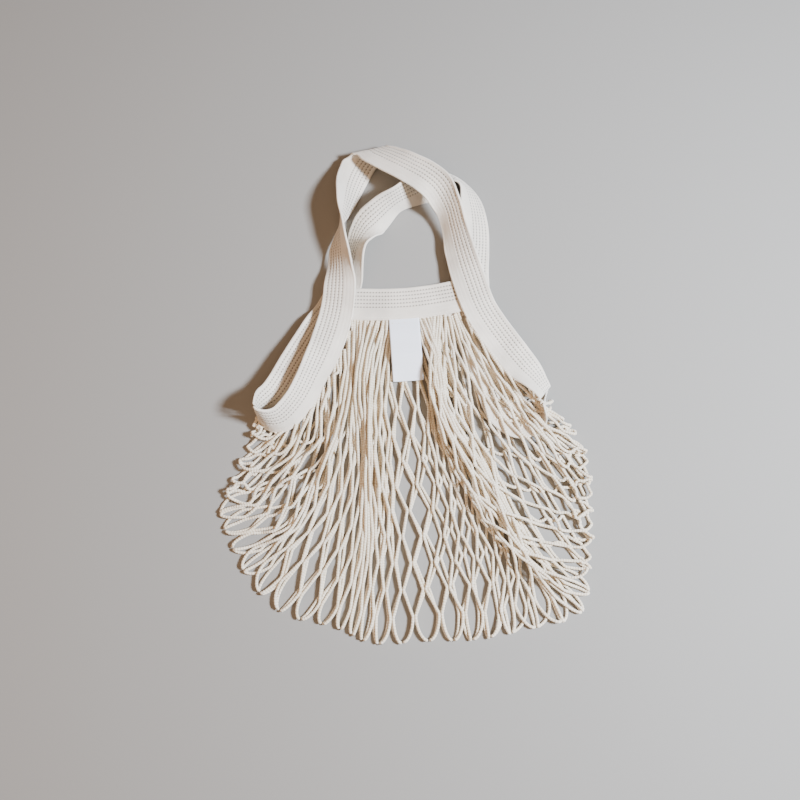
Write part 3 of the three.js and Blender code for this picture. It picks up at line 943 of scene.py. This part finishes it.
def grown_object(name, paths, tree, sizes, swells=None):
    """A plain mesh that a geometry tree grows along lines of points."""
    points = np.concatenate(paths)
    edges = []
    first = 0
    for path in paths:
        edges += [(first + i, first + i + 1) for i in range(len(path) - 1)]
        first += len(path)
    mesh = bpy.data.meshes.new(name)
    mesh.from_pydata(placed(points).tolist(), edges, [])
    if swells is not None:
        mesh.attributes.new("swell", "FLOAT", "POINT").data.foreach_set("value", np.concatenate(swells))
    piece = bpy.data.objects.new(name, mesh)
    bpy.context.scene.collection.objects.link(piece)
    modifier = piece.modifiers.new(tree.name, "NODES")
    modifier.node_group = tree
    for item in tree.interface.items_tree:
        if item.in_out == "INPUT" and item.name in sizes:
            modifier[item.identifier] = sizes[item.name]
    seen = piece.evaluated_get(bpy.context.evaluated_depsgraph_get())
    grown = bpy.data.meshes.new_from_object(seen)
    piece.modifiers.clear()
    piece.data = grown
    grown.name = name
    bpy.data.meshes.remove(mesh)
    return piece


# Materials

# Real sizes of what the patterns show, in metres: slow changes of tone, loose fibres, plies and mottle
TAPE_TONE = 0.03
TAPE_FIBRE = 0.0008
CORD_TONE = 0.04
CORD_FIBRE = 0.0012
THREAD_PLY = 0.0006
LABEL_TONE = 0.02
FLOOR_MOTTLE = 1 / 12

# The real weft of the label is about 0.2 mm, too fine to show, and is drawn at 5 mm.
# A wave texture of scale 1 turns by 20 radians a unit
LABEL_WEFT = 0.005
WAVE_TURN = 20

# Fibre with air in it: a low, wide shine
FIBRE_IOR = 1.46
FIBRE_SHINE = 0.25
SHEEN_ROUGHNESS = 0.6
TAPE_FINISH = "cotton tape, rib-knitted"

# The tape's knit: its courses, where its grooves end, and each part's painted shade and lift of the surface
COURSES_PER_STITCH = 2.0
GROOVE_EASE = 0.2
PAINTED_KNIT_SHADE = 0.1
PAINTED_PIT_SHADE = 0.9
RIB_RELIEF = 0.4
KNIT_RELIEF = -0.5
PIT_RELIEF = -1.2

# How far the cord's loops paint shade between them, its random tone darkens it, and the loops lift it
PAINTED_LOOP_SHADE = 0.14
TONE_SHADE = 0.4
LOOP_RELIEF = 0.5


def new_material(name, colour, roughness, sheen):
    """An empty principled material and its shader."""
    material = bpy.data.materials.new(name)
    material.use_nodes = True
    tree = material.node_tree
    tree.nodes.clear()
    shader = add_node(tree, "ShaderNodeBsdfPrincipled", {
        "Base Color": colour, "Roughness": roughness,
        "Sheen Weight": sheen, "Sheen Roughness": SHEEN_ROUGHNESS,
        "IOR": FIBRE_IOR, "Specular IOR Level": FIBRE_SHINE,
    })
    add_node(tree, "ShaderNodeOutputMaterial", {"Surface": shader.outputs["BSDF"]})
    return material, tree, shader


def knitted_cotton_tape(tape):
    """Rib-knitted cotton: matt off-white, a fine plain knit and grooves with a pit at each stitch, painted
    shade in the hollows.
    """
    if TAPE_FINISH in bpy.data.materials:
        return bpy.data.materials[TAPE_FINISH]
    material, tree, shader = new_material(
        TAPE_FINISH, tape.colour, roughness=0.92, sheen=0.25)
    knit = add_node(tree, "ShaderNodeUVMap", uv_map="knit").outputs["UV"]
    spot = add_node(tree, "ShaderNodeSeparateXYZ", {0: knit}).outputs

    # ribs between the grooves
    columns = add_node(tree, "ShaderNodeMath", {
        0: spot["X"], 1: tape.width / tape.groove_pitch, 2: -tape.first_groove / tape.groove_pitch,
    }, operation="MULTIPLY_ADD").outputs[0]
    half_turns = add_node(tree, "ShaderNodeMath", {0: columns, 1: np.pi}, operation="MULTIPLY").outputs[0]
    rib = add_node(tree, "ShaderNodeMath", {0: half_turns}, operation="SINE").outputs[0]
    rib = add_node(tree, "ShaderNodeMath", {0: rib}, operation="ABSOLUTE").outputs[0]

    # pits along the grooves, one a stitch
    stitches = add_node(tree, "ShaderNodeMath", {
        0: spot["Y"], 1: 2 * np.pi * tape.width / tape.stitch,
    }, operation="MULTIPLY").outputs[0]
    loop = add_node(tree, "ShaderNodeMath", {0: stitches}, operation="SINE").outputs[0]
    gap = add_node(tree, "ShaderNodeMapRange", {
        "Value": loop, "From Min": -0.2, "From Max": 0.7, "To Min": 0.12, "To Max": 1.0,
    }).outputs[0]
    groove = add_node(tree, "ShaderNodeMapRange", {
        "Value": rib, "From Min": 0.15, "From Max": 0.7, "To Min": 1.0, "To Max": 0.0,
    }).outputs[0]
    off_middle = add_node(tree, "ShaderNodeMath", {
        0: columns, 1: (tape.grooves - 1) / 2,
    }, operation="SUBTRACT").outputs[0]
    off_middle = add_node(tree, "ShaderNodeMath", {0: off_middle}, operation="ABSOLUTE").outputs[0]
    drawn = add_node(tree, "ShaderNodeMapRange", {
        "Value": off_middle,
        "From Min": tape.grooves / 2 - GROOVE_EASE, "From Max": tape.grooves / 2 + GROOVE_EASE,
        "To Min": 1.0, "To Max": 0.0,
    }).outputs[0]
    pit = add_node(tree, "ShaderNodeMath", {0: groove, 1: gap}, operation="MULTIPLY").outputs[0]
    pit = add_node(tree, "ShaderNodeMath", {0: pit, 1: drawn}, operation="MULTIPLY").outputs[0]

    # plain knit all over
    wale_turns = add_node(tree, "ShaderNodeMath", {
        0: spot["X"], 1: 2 * np.pi * tape.width / tape.wale,
    }, operation="MULTIPLY").outputs[0]
    wales = add_node(tree, "ShaderNodeMath", {0: wale_turns}, operation="SINE").outputs[0]
    courses = add_node(tree, "ShaderNodeMath", {
        0: stitches, 1: COURSES_PER_STITCH,
    }, operation="MULTIPLY").outputs[0]
    courses = add_node(tree, "ShaderNodeMath", {0: courses}, operation="COSINE").outputs[0]
    plain = add_node(tree, "ShaderNodeMath", {0: wales, 1: courses}, operation="MULTIPLY").outputs[0]

    # colour: painted shade in the pits and in the hollows of the plain knit, and a tone that differs at
    # random
    place = add_node(tree, "ShaderNodeTexCoord").outputs["Object"]
    tone = add_node(tree, "ShaderNodeTexNoise", {
        "Vector": place, "Scale": 1 / TAPE_TONE, "Detail": 3.0,
    }).outputs[0]
    tone = add_node(tree, "ShaderNodeMapRange", {
        "Value": tone, "From Min": 0.3, "From Max": 0.7, "To Min": 0.0, "To Max": 0.25,
    }).outputs[0]
    tone = add_node(tree, "ShaderNodeMath", {
        0: plain, 1: PAINTED_KNIT_SHADE, 2: tone,
    }, operation="MULTIPLY_ADD").outputs[0]
    dark = add_node(tree, "ShaderNodeMath", {
        0: pit, 1: PAINTED_PIT_SHADE, 2: tone,
    }, operation="MULTIPLY_ADD", use_clamp=True).outputs[0]
    # a colour mix has its factor at 0 and its two colours at 6 and 7
    colour = add_node(tree, "ShaderNodeMix", {
        0: dark, 6: tape.colour, 7: tape.shade,
    }, data_type="RGBA").outputs[2]
    tree.links.new(colour, shader.inputs["Base Color"])

    # relief of fibres, ribs, knit and pits
    fuzz = add_node(tree, "ShaderNodeTexNoise", {
        "Vector": place, "Scale": 1 / TAPE_FIBRE, "Detail": 2.0,
    }).outputs[0]
    raised = add_node(tree, "ShaderNodeMath", {
        0: rib, 1: RIB_RELIEF, 2: fuzz,
    }, operation="MULTIPLY_ADD").outputs[0]
    raised = add_node(tree, "ShaderNodeMath", {
        0: plain, 1: KNIT_RELIEF, 2: raised,
    }, operation="MULTIPLY_ADD").outputs[0]
    raised = add_node(tree, "ShaderNodeMath", {
        0: pit, 1: PIT_RELIEF, 2: raised,
    }, operation="MULTIPLY_ADD").outputs[0]
    bump = add_node(tree, "ShaderNodeBump", {
        "Height": raised, "Distance": 0.0004, "Strength": 0.8,
    }).outputs[0]
    tree.links.new(bump, shader.inputs["Normal"])
    return material


def knitted_cotton_cord(net):
    """Chain-knitted ecru cord: a matt lumpy yarn with painted shade between its loops, and loose fibres."""
    material, tree, shader = new_material(
        "cotton cord, chain-knitted", net.colour, roughness=0.95, sheen=0.3)
    run = add_node(tree, "ShaderNodeAttribute", attribute_name="run").outputs["Fac"]
    turns = add_node(tree, "ShaderNodeMath", {
        0: run, 1: 2 * np.pi / net.loop,
    }, operation="MULTIPLY").outputs[0]
    loops = add_node(tree, "ShaderNodeMath", {0: turns}, operation="SINE").outputs[0]
    place = add_node(tree, "ShaderNodeTexCoord").outputs["Object"]
    fuzz = add_node(tree, "ShaderNodeTexNoise", {
        "Vector": place, "Scale": 1 / CORD_FIBRE, "Detail": 3.0,
    }).outputs[0]
    tone = add_node(tree, "ShaderNodeTexNoise", {
        "Vector": place, "Scale": 1 / CORD_TONE, "Detail": 2.0,
    }).outputs[0]

    # colour: painted shade between the loops, and fibres and a tone that differ at random
    shade = add_node(tree, "ShaderNodeMath", {
        0: loops, 1: PAINTED_LOOP_SHADE, 2: fuzz,
    }, operation="MULTIPLY_ADD").outputs[0]
    shade = add_node(tree, "ShaderNodeMath", {
        0: tone, 1: TONE_SHADE, 2: shade,
    }, operation="MULTIPLY_ADD").outputs[0]
    shade = add_node(tree, "ShaderNodeMapRange", {
        "Value": shade, "From Min": 0.5, "From Max": 1.0, "To Min": 1.0, "To Max": 0.0,
    }).outputs[0]
    colour = add_node(tree, "ShaderNodeMix", {
        0: shade, 6: net.colour, 7: net.shade,
    }, data_type="RGBA").outputs[2]
    tree.links.new(colour, shader.inputs["Base Color"])

    # relief of loops and fibres
    raised = add_node(tree, "ShaderNodeMath", {
        0: loops, 1: LOOP_RELIEF, 2: fuzz,
    }, operation="MULTIPLY_ADD").outputs[0]
    bump = add_node(tree, "ShaderNodeBump", {
        "Height": raised, "Distance": 0.0004, "Strength": 0.6,
    }).outputs[0]
    tree.links.new(bump, shader.inputs["Normal"])
    return material


def woven_satin_ribbon(label):
    """Polyester satin: a smooth cool white with a faint shine and soft weft lines."""
    material, tree, shader = new_material(
        "polyester satin, woven", label.colour, roughness=0.5, sheen=0.1)
    weave = add_node(tree, "ShaderNodeUVMap", uv_map="knit").outputs["UV"]
    lines = add_node(tree, "ShaderNodeTexWave", {
        "Vector": weave, "Scale": 2 * np.pi * label.width / LABEL_WEFT / WAVE_TURN,
        "Distortion": 0.6, "Detail": 1.0,
    }, bands_direction="Y").outputs["Fac"]
    bump = add_node(tree, "ShaderNodeBump", {
        "Height": lines, "Distance": 0.0001, "Strength": 0.35,
    }).outputs[0]
    tree.links.new(bump, shader.inputs["Normal"])
    place = add_node(tree, "ShaderNodeTexCoord").outputs["Object"]
    tone = add_node(tree, "ShaderNodeTexNoise", {"Vector": place, "Scale": 1 / LABEL_TONE}).outputs[0]
    tone = add_node(tree, "ShaderNodeMapRange", {
        "Value": tone, "From Min": 0.3, "From Max": 0.7, "To Min": 0.4, "To Max": 0.55,
    }).outputs[0]
    tree.links.new(tone, shader.inputs["Roughness"])
    return material


def twisted_cotton_thread(net):
    """Sewing thread: ecru cotton, matt, with uneven plies."""
    material, tree, shader = new_material(
        "cotton thread, twisted", net.colour, roughness=0.9, sheen=0.2)
    place = add_node(tree, "ShaderNodeTexCoord").outputs["Object"]
    ply = add_node(tree, "ShaderNodeTexNoise", {"Vector": place, "Scale": 1 / THREAD_PLY}).outputs[0]
    bump = add_node(tree, "ShaderNodeBump", {
        "Height": ply, "Distance": 0.0002, "Strength": 0.5,
    }).outputs[0]
    tree.links.new(bump, shader.inputs["Normal"])
    return material


def pale_floor(stage):
    """Plain matt floor, pale grey, with a hardly visible mottle in its shine."""
    material, tree, shader = new_material(
        "floor, painted", stage.floor_colour, roughness=0.9, sheen=0.0)
    place = add_node(tree, "ShaderNodeTexCoord").outputs["Object"]
    mottle = add_node(tree, "ShaderNodeTexNoise", {
        "Vector": place, "Scale": 1 / FLOOR_MOTTLE, "Detail": 4.0,
    }).outputs[0]
    mottle = add_node(tree, "ShaderNodeMapRange", {
        "Value": mottle, "From Min": 0.3, "From Max": 0.7, "To Min": 0.86, "To Max": 0.94,
    }).outputs[0]
    tree.links.new(mottle, shader.inputs["Roughness"])
    return material


# Settings


class TapeSettings(bpy.types.PropertyGroup):
    """Sizes and colours of the knitted tape."""

    width: bpy.props.FloatProperty(
        name="Width", description="Width of the tape", default=0.034, unit="LENGTH")
    thickness: bpy.props.FloatProperty(
        name="Thickness", description="Thickness of one tape", default=0.002, unit="LENGTH")
    band_thickness: bpy.props.FloatProperty(
        name="Band thickness", description="Thickness of a doubled mouth band", default=0.003, unit="LENGTH")
    grooves: bpy.props.IntProperty(
        name="Grooves", description="Lines of open stitches along the tape", default=5)
    first_groove: bpy.props.FloatProperty(
        name="First groove", description="From the free rim to the first groove",
        default=0.0046, unit="LENGTH")
    groove_pitch: bpy.props.FloatProperty(
        name="Groove pitch", description="From one groove to the next", default=0.0039, unit="LENGTH")
    relief: bpy.props.FloatProperty(
        name="Relief", description="Depth of the grooves", default=0.0002, unit="LENGTH")
    stitch: bpy.props.FloatProperty(
        name="Stitch", description="Length of one knitted stitch", default=0.0031, unit="LENGTH")
    wale: bpy.props.FloatProperty(
        name="Wale", description="Width of one column of the plain knit", default=0.0013, unit="LENGTH")
    step: bpy.props.FloatProperty(
        name="Step", description="Distance between cross lines of the mesh", default=0.002, unit="LENGTH")
    colour: bpy.props.FloatVectorProperty(
        name="Colour", description="Bleached cotton", default=linear("#f2e9da"), size=4, subtype="COLOR")
    # painted shade: colour of the pits and knit hollows, also the dark end of the tape's random tone
    shade: bpy.props.FloatVectorProperty(
        name="Shade", description="Colour between stitches",
        default=linear("#5e564a"), size=4, subtype="COLOR")


class NetSettings(bpy.types.PropertyGroup):
    """Sizes and colours of the knitted net."""

    strands: bpy.props.IntProperty(name="Strands", description="Cords across the net", default=72)
    rows: bpy.props.IntProperty(name="Rows", description="Rows of joints from band to band", default=26)
    row_length: bpy.props.FloatProperty(
        name="Row length", description="Cord from one joint to the next", default=0.0265, unit="LENGTH")
    cord: bpy.props.FloatProperty(
        name="Cord", description="Thickness of the cord", default=0.003, unit="LENGTH")
    loop: bpy.props.FloatProperty(
        name="Loop", description="Length of one loop of the knitted cord", default=0.0026, unit="LENGTH")
    sides: bpy.props.IntProperty(name="Sides", description="Sides of the cord's mesh", default=6)
    seed: bpy.props.IntProperty(name="Seed", description="Chooses the uneven lie of the net", default=7)
    colour: bpy.props.FloatVectorProperty(
        name="Colour", description="Ecru cotton", default=linear("#f2e9d9"), size=4, subtype="COLOR")
    # painted shade: the colour between the cord's loops, also the dark end of its random tone
    shade: bpy.props.FloatVectorProperty(
        name="Shade", description="Colour between loops", default=linear("#cfc0a4"), size=4, subtype="COLOR")


class LabelSettings(bpy.types.PropertyGroup):
    """Sizes and colour of the label."""

    width: bpy.props.FloatProperty(
        name="Width", description="Width of the ribbon", default=0.031, unit="LENGTH")
    length: bpy.props.FloatProperty(
        name="Length", description="Length that shows", default=0.062, unit="LENGTH")
    thickness: bpy.props.FloatProperty(
        name="Thickness", description="Thickness of the ribbon", default=0.0005, unit="LENGTH")
    colour: bpy.props.FloatVectorProperty(
        name="Colour", description="Cool white satin", default=linear("#e9edf4"), size=4, subtype="COLOR")


class StageSettings(bpy.types.PropertyGroup):
    """Floor, light and camera."""

    floor_colour: bpy.props.FloatVectorProperty(
        name="Floor", description="Colour of the floor", default=linear("#8e8c87"), size=4, subtype="COLOR")
    key: bpy.props.FloatProperty(name="Key", description="Main light", default=76, unit="POWER")
    fill: bpy.props.FloatProperty(name="Fill", description="Soft light from above", default=18, unit="POWER")
    bounce: bpy.props.FloatProperty(
        name="Bounce", description="Warm light from the left", default=5, unit="POWER")
    sky: bpy.props.FloatProperty(name="Sky", description="Light from all round", default=0.12)
    lens: bpy.props.FloatProperty(name="Lens", description="Focal length", default=40.5, unit="CAMERA")
    elevation: bpy.props.FloatProperty(
        name="Elevation", description="Angle of the view above the floor",
        default=np.radians(77), subtype="ANGLE")
    distance: bpy.props.FloatProperty(
        name="Distance", description="From the camera to the bag", default=0.9, unit="LENGTH")


def dress(piece, slot, *nodes):
    """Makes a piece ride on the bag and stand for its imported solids."""
    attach(piece, BODY)
    if nodes:
        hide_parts(*nodes)


# Operators


class MakeNet(bpy.types.Operator):
    """Net of chain-knitted cord, gathered under both bands and sewn to the tape at its sides"""

    bl_idname = "net_bag.make_net"
    bl_label = "Make net"

    def execute(self, context):
        net = context.scene.net_bag_net
        strands, _ = lying_net(context.scene)
        tree = cord_tree(knitted_cotton_cord(net))
        sizes = {"Radius": net.cord / 2, "Sides": net.sides}
        third = len(strands) // 3
        for name, part in (
            ("net_left", strands[:third]),
            ("net_middle", strands[third:2 * third]),
            ("net_right", strands[2 * third:]),
        ):
            swells = []
            for strand in part:
                turns = run_lengths(strand) * MM / net.loop
                swells.append(1 + CORD_SWELL * np.cos(2 * np.pi * turns))
            piece = grown_object(name, part, tree, sizes, swells)
            dress(piece, "cotton_yarn", "net")
        return {"FINISHED"}


class MakeHandles(bpy.types.Operator):
    """Two lengths of knitted tape that bind the mouth and stand up as handles"""

    bl_idname = "net_bag.make_handles"
    bl_label = "Make handles"

    def execute(self, context):
        tape = context.scene.net_bag_tape
        material = knitted_cotton_tape(tape)
        rng = np.random.default_rng(context.scene.net_bag_net.seed)
        left = loop_place("left seam")
        right = loop_place("right seam")
        for node, start, end in (
            ("front_handle", left, right),
            ("back_handle", right, left + len(TAPE_LOOP)),
        ):
            places = even_places(start, end, tape.step / MM)
            places = places[:-1] if node == "front_handle" else places[1:-1]
            lines = tape_lines(places, tape.width / MM, tape.thickness / MM)
            profile = knit_profile(tape, tape.thickness / MM)
            run = run_lengths(lines[0])
            rim = ripple(run, rng, TAPE_WAVE, TAPE_RIPPLE)
            sewn = ripple(run, rng, TAPE_WAVE, TAPE_RIPPLE)
            to_rim = np.maximum(-profile[0], 0)
            to_sewn = np.maximum(profile[0], 0)
            bow = rim[:, None] * to_rim ** 2 + sewn[:, None] * to_sewn ** 2
            piece = ribbon_object(f"{node}_tape", lines, profile, bow, material)
            dress(piece, "cotton_tape", node)
        return {"FINISHED"}


class MakeBands(bpy.types.Operator):
    """Two bands of doubled tape across the mouth"""

    bl_idname = "net_bag.make_bands"
    bl_label = "Make bands"

    def execute(self, context):
        tape = context.scene.net_bag_tape
        material = knitted_cotton_tape(tape)
        rng = np.random.default_rng(context.scene.net_bag_net.seed)
        for node, rows in (("front_band", FRONT_BAND), ("back_band", BACK_BAND)):
            lines = band_lines(rows, tape.width / MM, tape.step / MM)
            profile = knit_profile(tape, tape.band_thickness / MM)
            run = run_lengths(lines[0])
            bow = ripple(run, rng, TAPE_WAVE, BAND_RIPPLE)[:, None] * profile[0][None, :] ** 2
            piece = ribbon_object(f"{node}_tape", lines, profile, bow, material)
            dress(piece, "cotton_tape", node)
        return {"FINISHED"}


class MakeLabel(bpy.types.Operator):
    """Plain satin label that hangs from under the front band"""

    bl_idname = "net_bag.make_label"
    bl_label = "Make label"

    def execute(self, context):
        label = context.scene.net_bag_label
        _, heights = lying_net(context.scene)
        run, lines = label_lines(label.width / MM, label.length / MM, heights)
        places = np.linspace(-1, 1, LABEL_PLACES)
        thinning = LABEL_EDGE_THINNING * places ** LABEL_EDGE_SHARPNESS
        profile = (places, label.thickness / MM / 2 * np.sqrt(1 - thinning))
        curl = LABEL_CURL * smooth((run - LABEL_CURL_FROM) / LABEL_CURL_REACH)
        bow = curl[:, None] * np.abs(places) ** LABEL_CURL_SHARPNESS
        piece = ribbon_object("label_ribbon", lines, profile, bow, woven_satin_ribbon(label))
        dress(piece, "satin_label", "label")
        return {"FINISHED"}


class MakeSewing(bpy.types.Operator):
    """Rows of stitches along the lower edges of both bands, which hold the gathered net"""

    bl_idname = "net_bag.make_sewing"
    bl_label = "Make sewing"

    def execute(self, context):
        tape = context.scene.net_bag_tape
        net = context.scene.net_bag_net
        paths = []
        for rows, side in ((FRONT_BAND, 1), (BACK_BAND, -1)):
            middle, across, face = band_lines(rows, tape.width / MM, SEAM_STEP)
            seam = middle + across * SEAM_SHARE + face * (side * tape.band_thickness / MM / 2)
            paths.append(seam[SEAM_INSET:-SEAM_INSET])
        tree = stitch_tree(twisted_cotton_thread(net))
        sizes = {"Pitch": STITCH_PITCH * MM, "Stitch": Vector(STITCH_SIZE) * MM}
        piece = grown_object("band_stitches", paths, tree, sizes)
        dress(piece, "cotton_yarn")
        return {"FINISHED"}


class MakeStage(bpy.types.Operator):
    """Pale floor, soft light from the right and the camera above the bag"""

    bl_idname = "net_bag.make_stage"
    bl_label = "Make stage"

    def execute(self, context):
        stage = context.scene.net_bag_stage
        mesh = bpy.data.meshes.new("floor")
        edit = bmesh.new()
        bmesh.ops.create_grid(edit, x_segments=FLOOR_CELLS, y_segments=FLOOR_CELLS, size=FLOOR_SIZE)
        edit.to_mesh(mesh)
        edit.free()
        mesh.materials.append(pale_floor(stage))
        floor = bpy.data.objects.new("floor", mesh)
        context.scene.collection.objects.link(floor)

        target = Vector(CAMERA_TARGET)
        for name, place, size, power, colour in (
            ("key light", KEY_PLACE, KEY_SIZE, stage.key, KEY_COLOUR),
            ("fill light", FILL_PLACE, FILL_SIZE, stage.fill, FILL_COLOUR),
            ("bounce light", BOUNCE_PLACE, BOUNCE_SIZE, stage.bounce, BOUNCE_COLOUR),
        ):
            light = bpy.data.lights.new(name, "AREA")
            light.size = size
            light.energy = power
            light.color = linear(colour)[:3]
            lamp = bpy.data.objects.new(name, light)
            lamp.location = place
            lamp.rotation_euler = (target - lamp.location).to_track_quat("-Z", "Y").to_euler()
            context.scene.collection.objects.link(lamp)

        world = bpy.data.worlds.new("studio")
        world.use_nodes = True
        sky = world.node_tree.nodes["Background"].inputs
        sky["Color"].default_value = linear(SKY_COLOUR)
        sky["Strength"].default_value = stage.sky
        context.scene.world = world

        lens = bpy.data.cameras.new("camera")
        lens.lens = stage.lens
        lens.sensor_width = SENSOR_WIDTH
        camera = bpy.data.objects.new("camera", lens)
        back = Vector((0, -np.cos(stage.elevation), np.sin(stage.elevation)))
        camera.location = target + back * stage.distance
        camera.rotation_euler = (-back).to_track_quat("-Z", "Y").to_euler()
        context.scene.collection.objects.link(camera)
        context.scene.camera = camera
        return {"FINISHED"}


class NetBagPanel(bpy.types.Panel):
    """Lists the makers of the bag's pieces"""

    bl_idname = "NETBAG_PT_pieces"
    bl_label = "Net bag"
    bl_space_type = "VIEW_3D"
    bl_region_type = "UI"
    bl_category = "Net bag"

    def draw(self, context):
        for maker in MAKERS:
            self.layout.operator(maker.bl_idname)


SETTINGS = {
    "net_bag_tape": TapeSettings,
    "net_bag_net": NetSettings,
    "net_bag_label": LabelSettings,
    "net_bag_stage": StageSettings,
}
MAKERS = (MakeNet, MakeHandles, MakeBands, MakeLabel, MakeSewing, MakeStage)


def register():
    """Registers the settings, operators and panel."""
    for name, settings in SETTINGS.items():
        bpy.utils.register_class(settings)
        setattr(bpy.types.Scene, name, bpy.props.PointerProperty(type=settings))
    for maker in MAKERS:
        bpy.utils.register_class(maker)
    bpy.utils.register_class(NetBagPanel)


def unregister():
    """Removes the panel, operators and settings."""
    bpy.utils.unregister_class(NetBagPanel)
    for maker in reversed(MAKERS):
        bpy.utils.unregister_class(maker)
    for name, settings in SETTINGS.items():
        delattr(bpy.types.Scene, name)
        bpy.utils.unregister_class(settings)


def main():
    """Makes every piece and the stage."""
    register()
    bpy.ops.net_bag.make_net()
    bpy.ops.net_bag.make_handles()
    bpy.ops.net_bag.make_bands()
    bpy.ops.net_bag.make_label()
    bpy.ops.net_bag.make_sewing()
    bpy.ops.net_bag.make_stage()


if __name__ == "__main__":
    main()
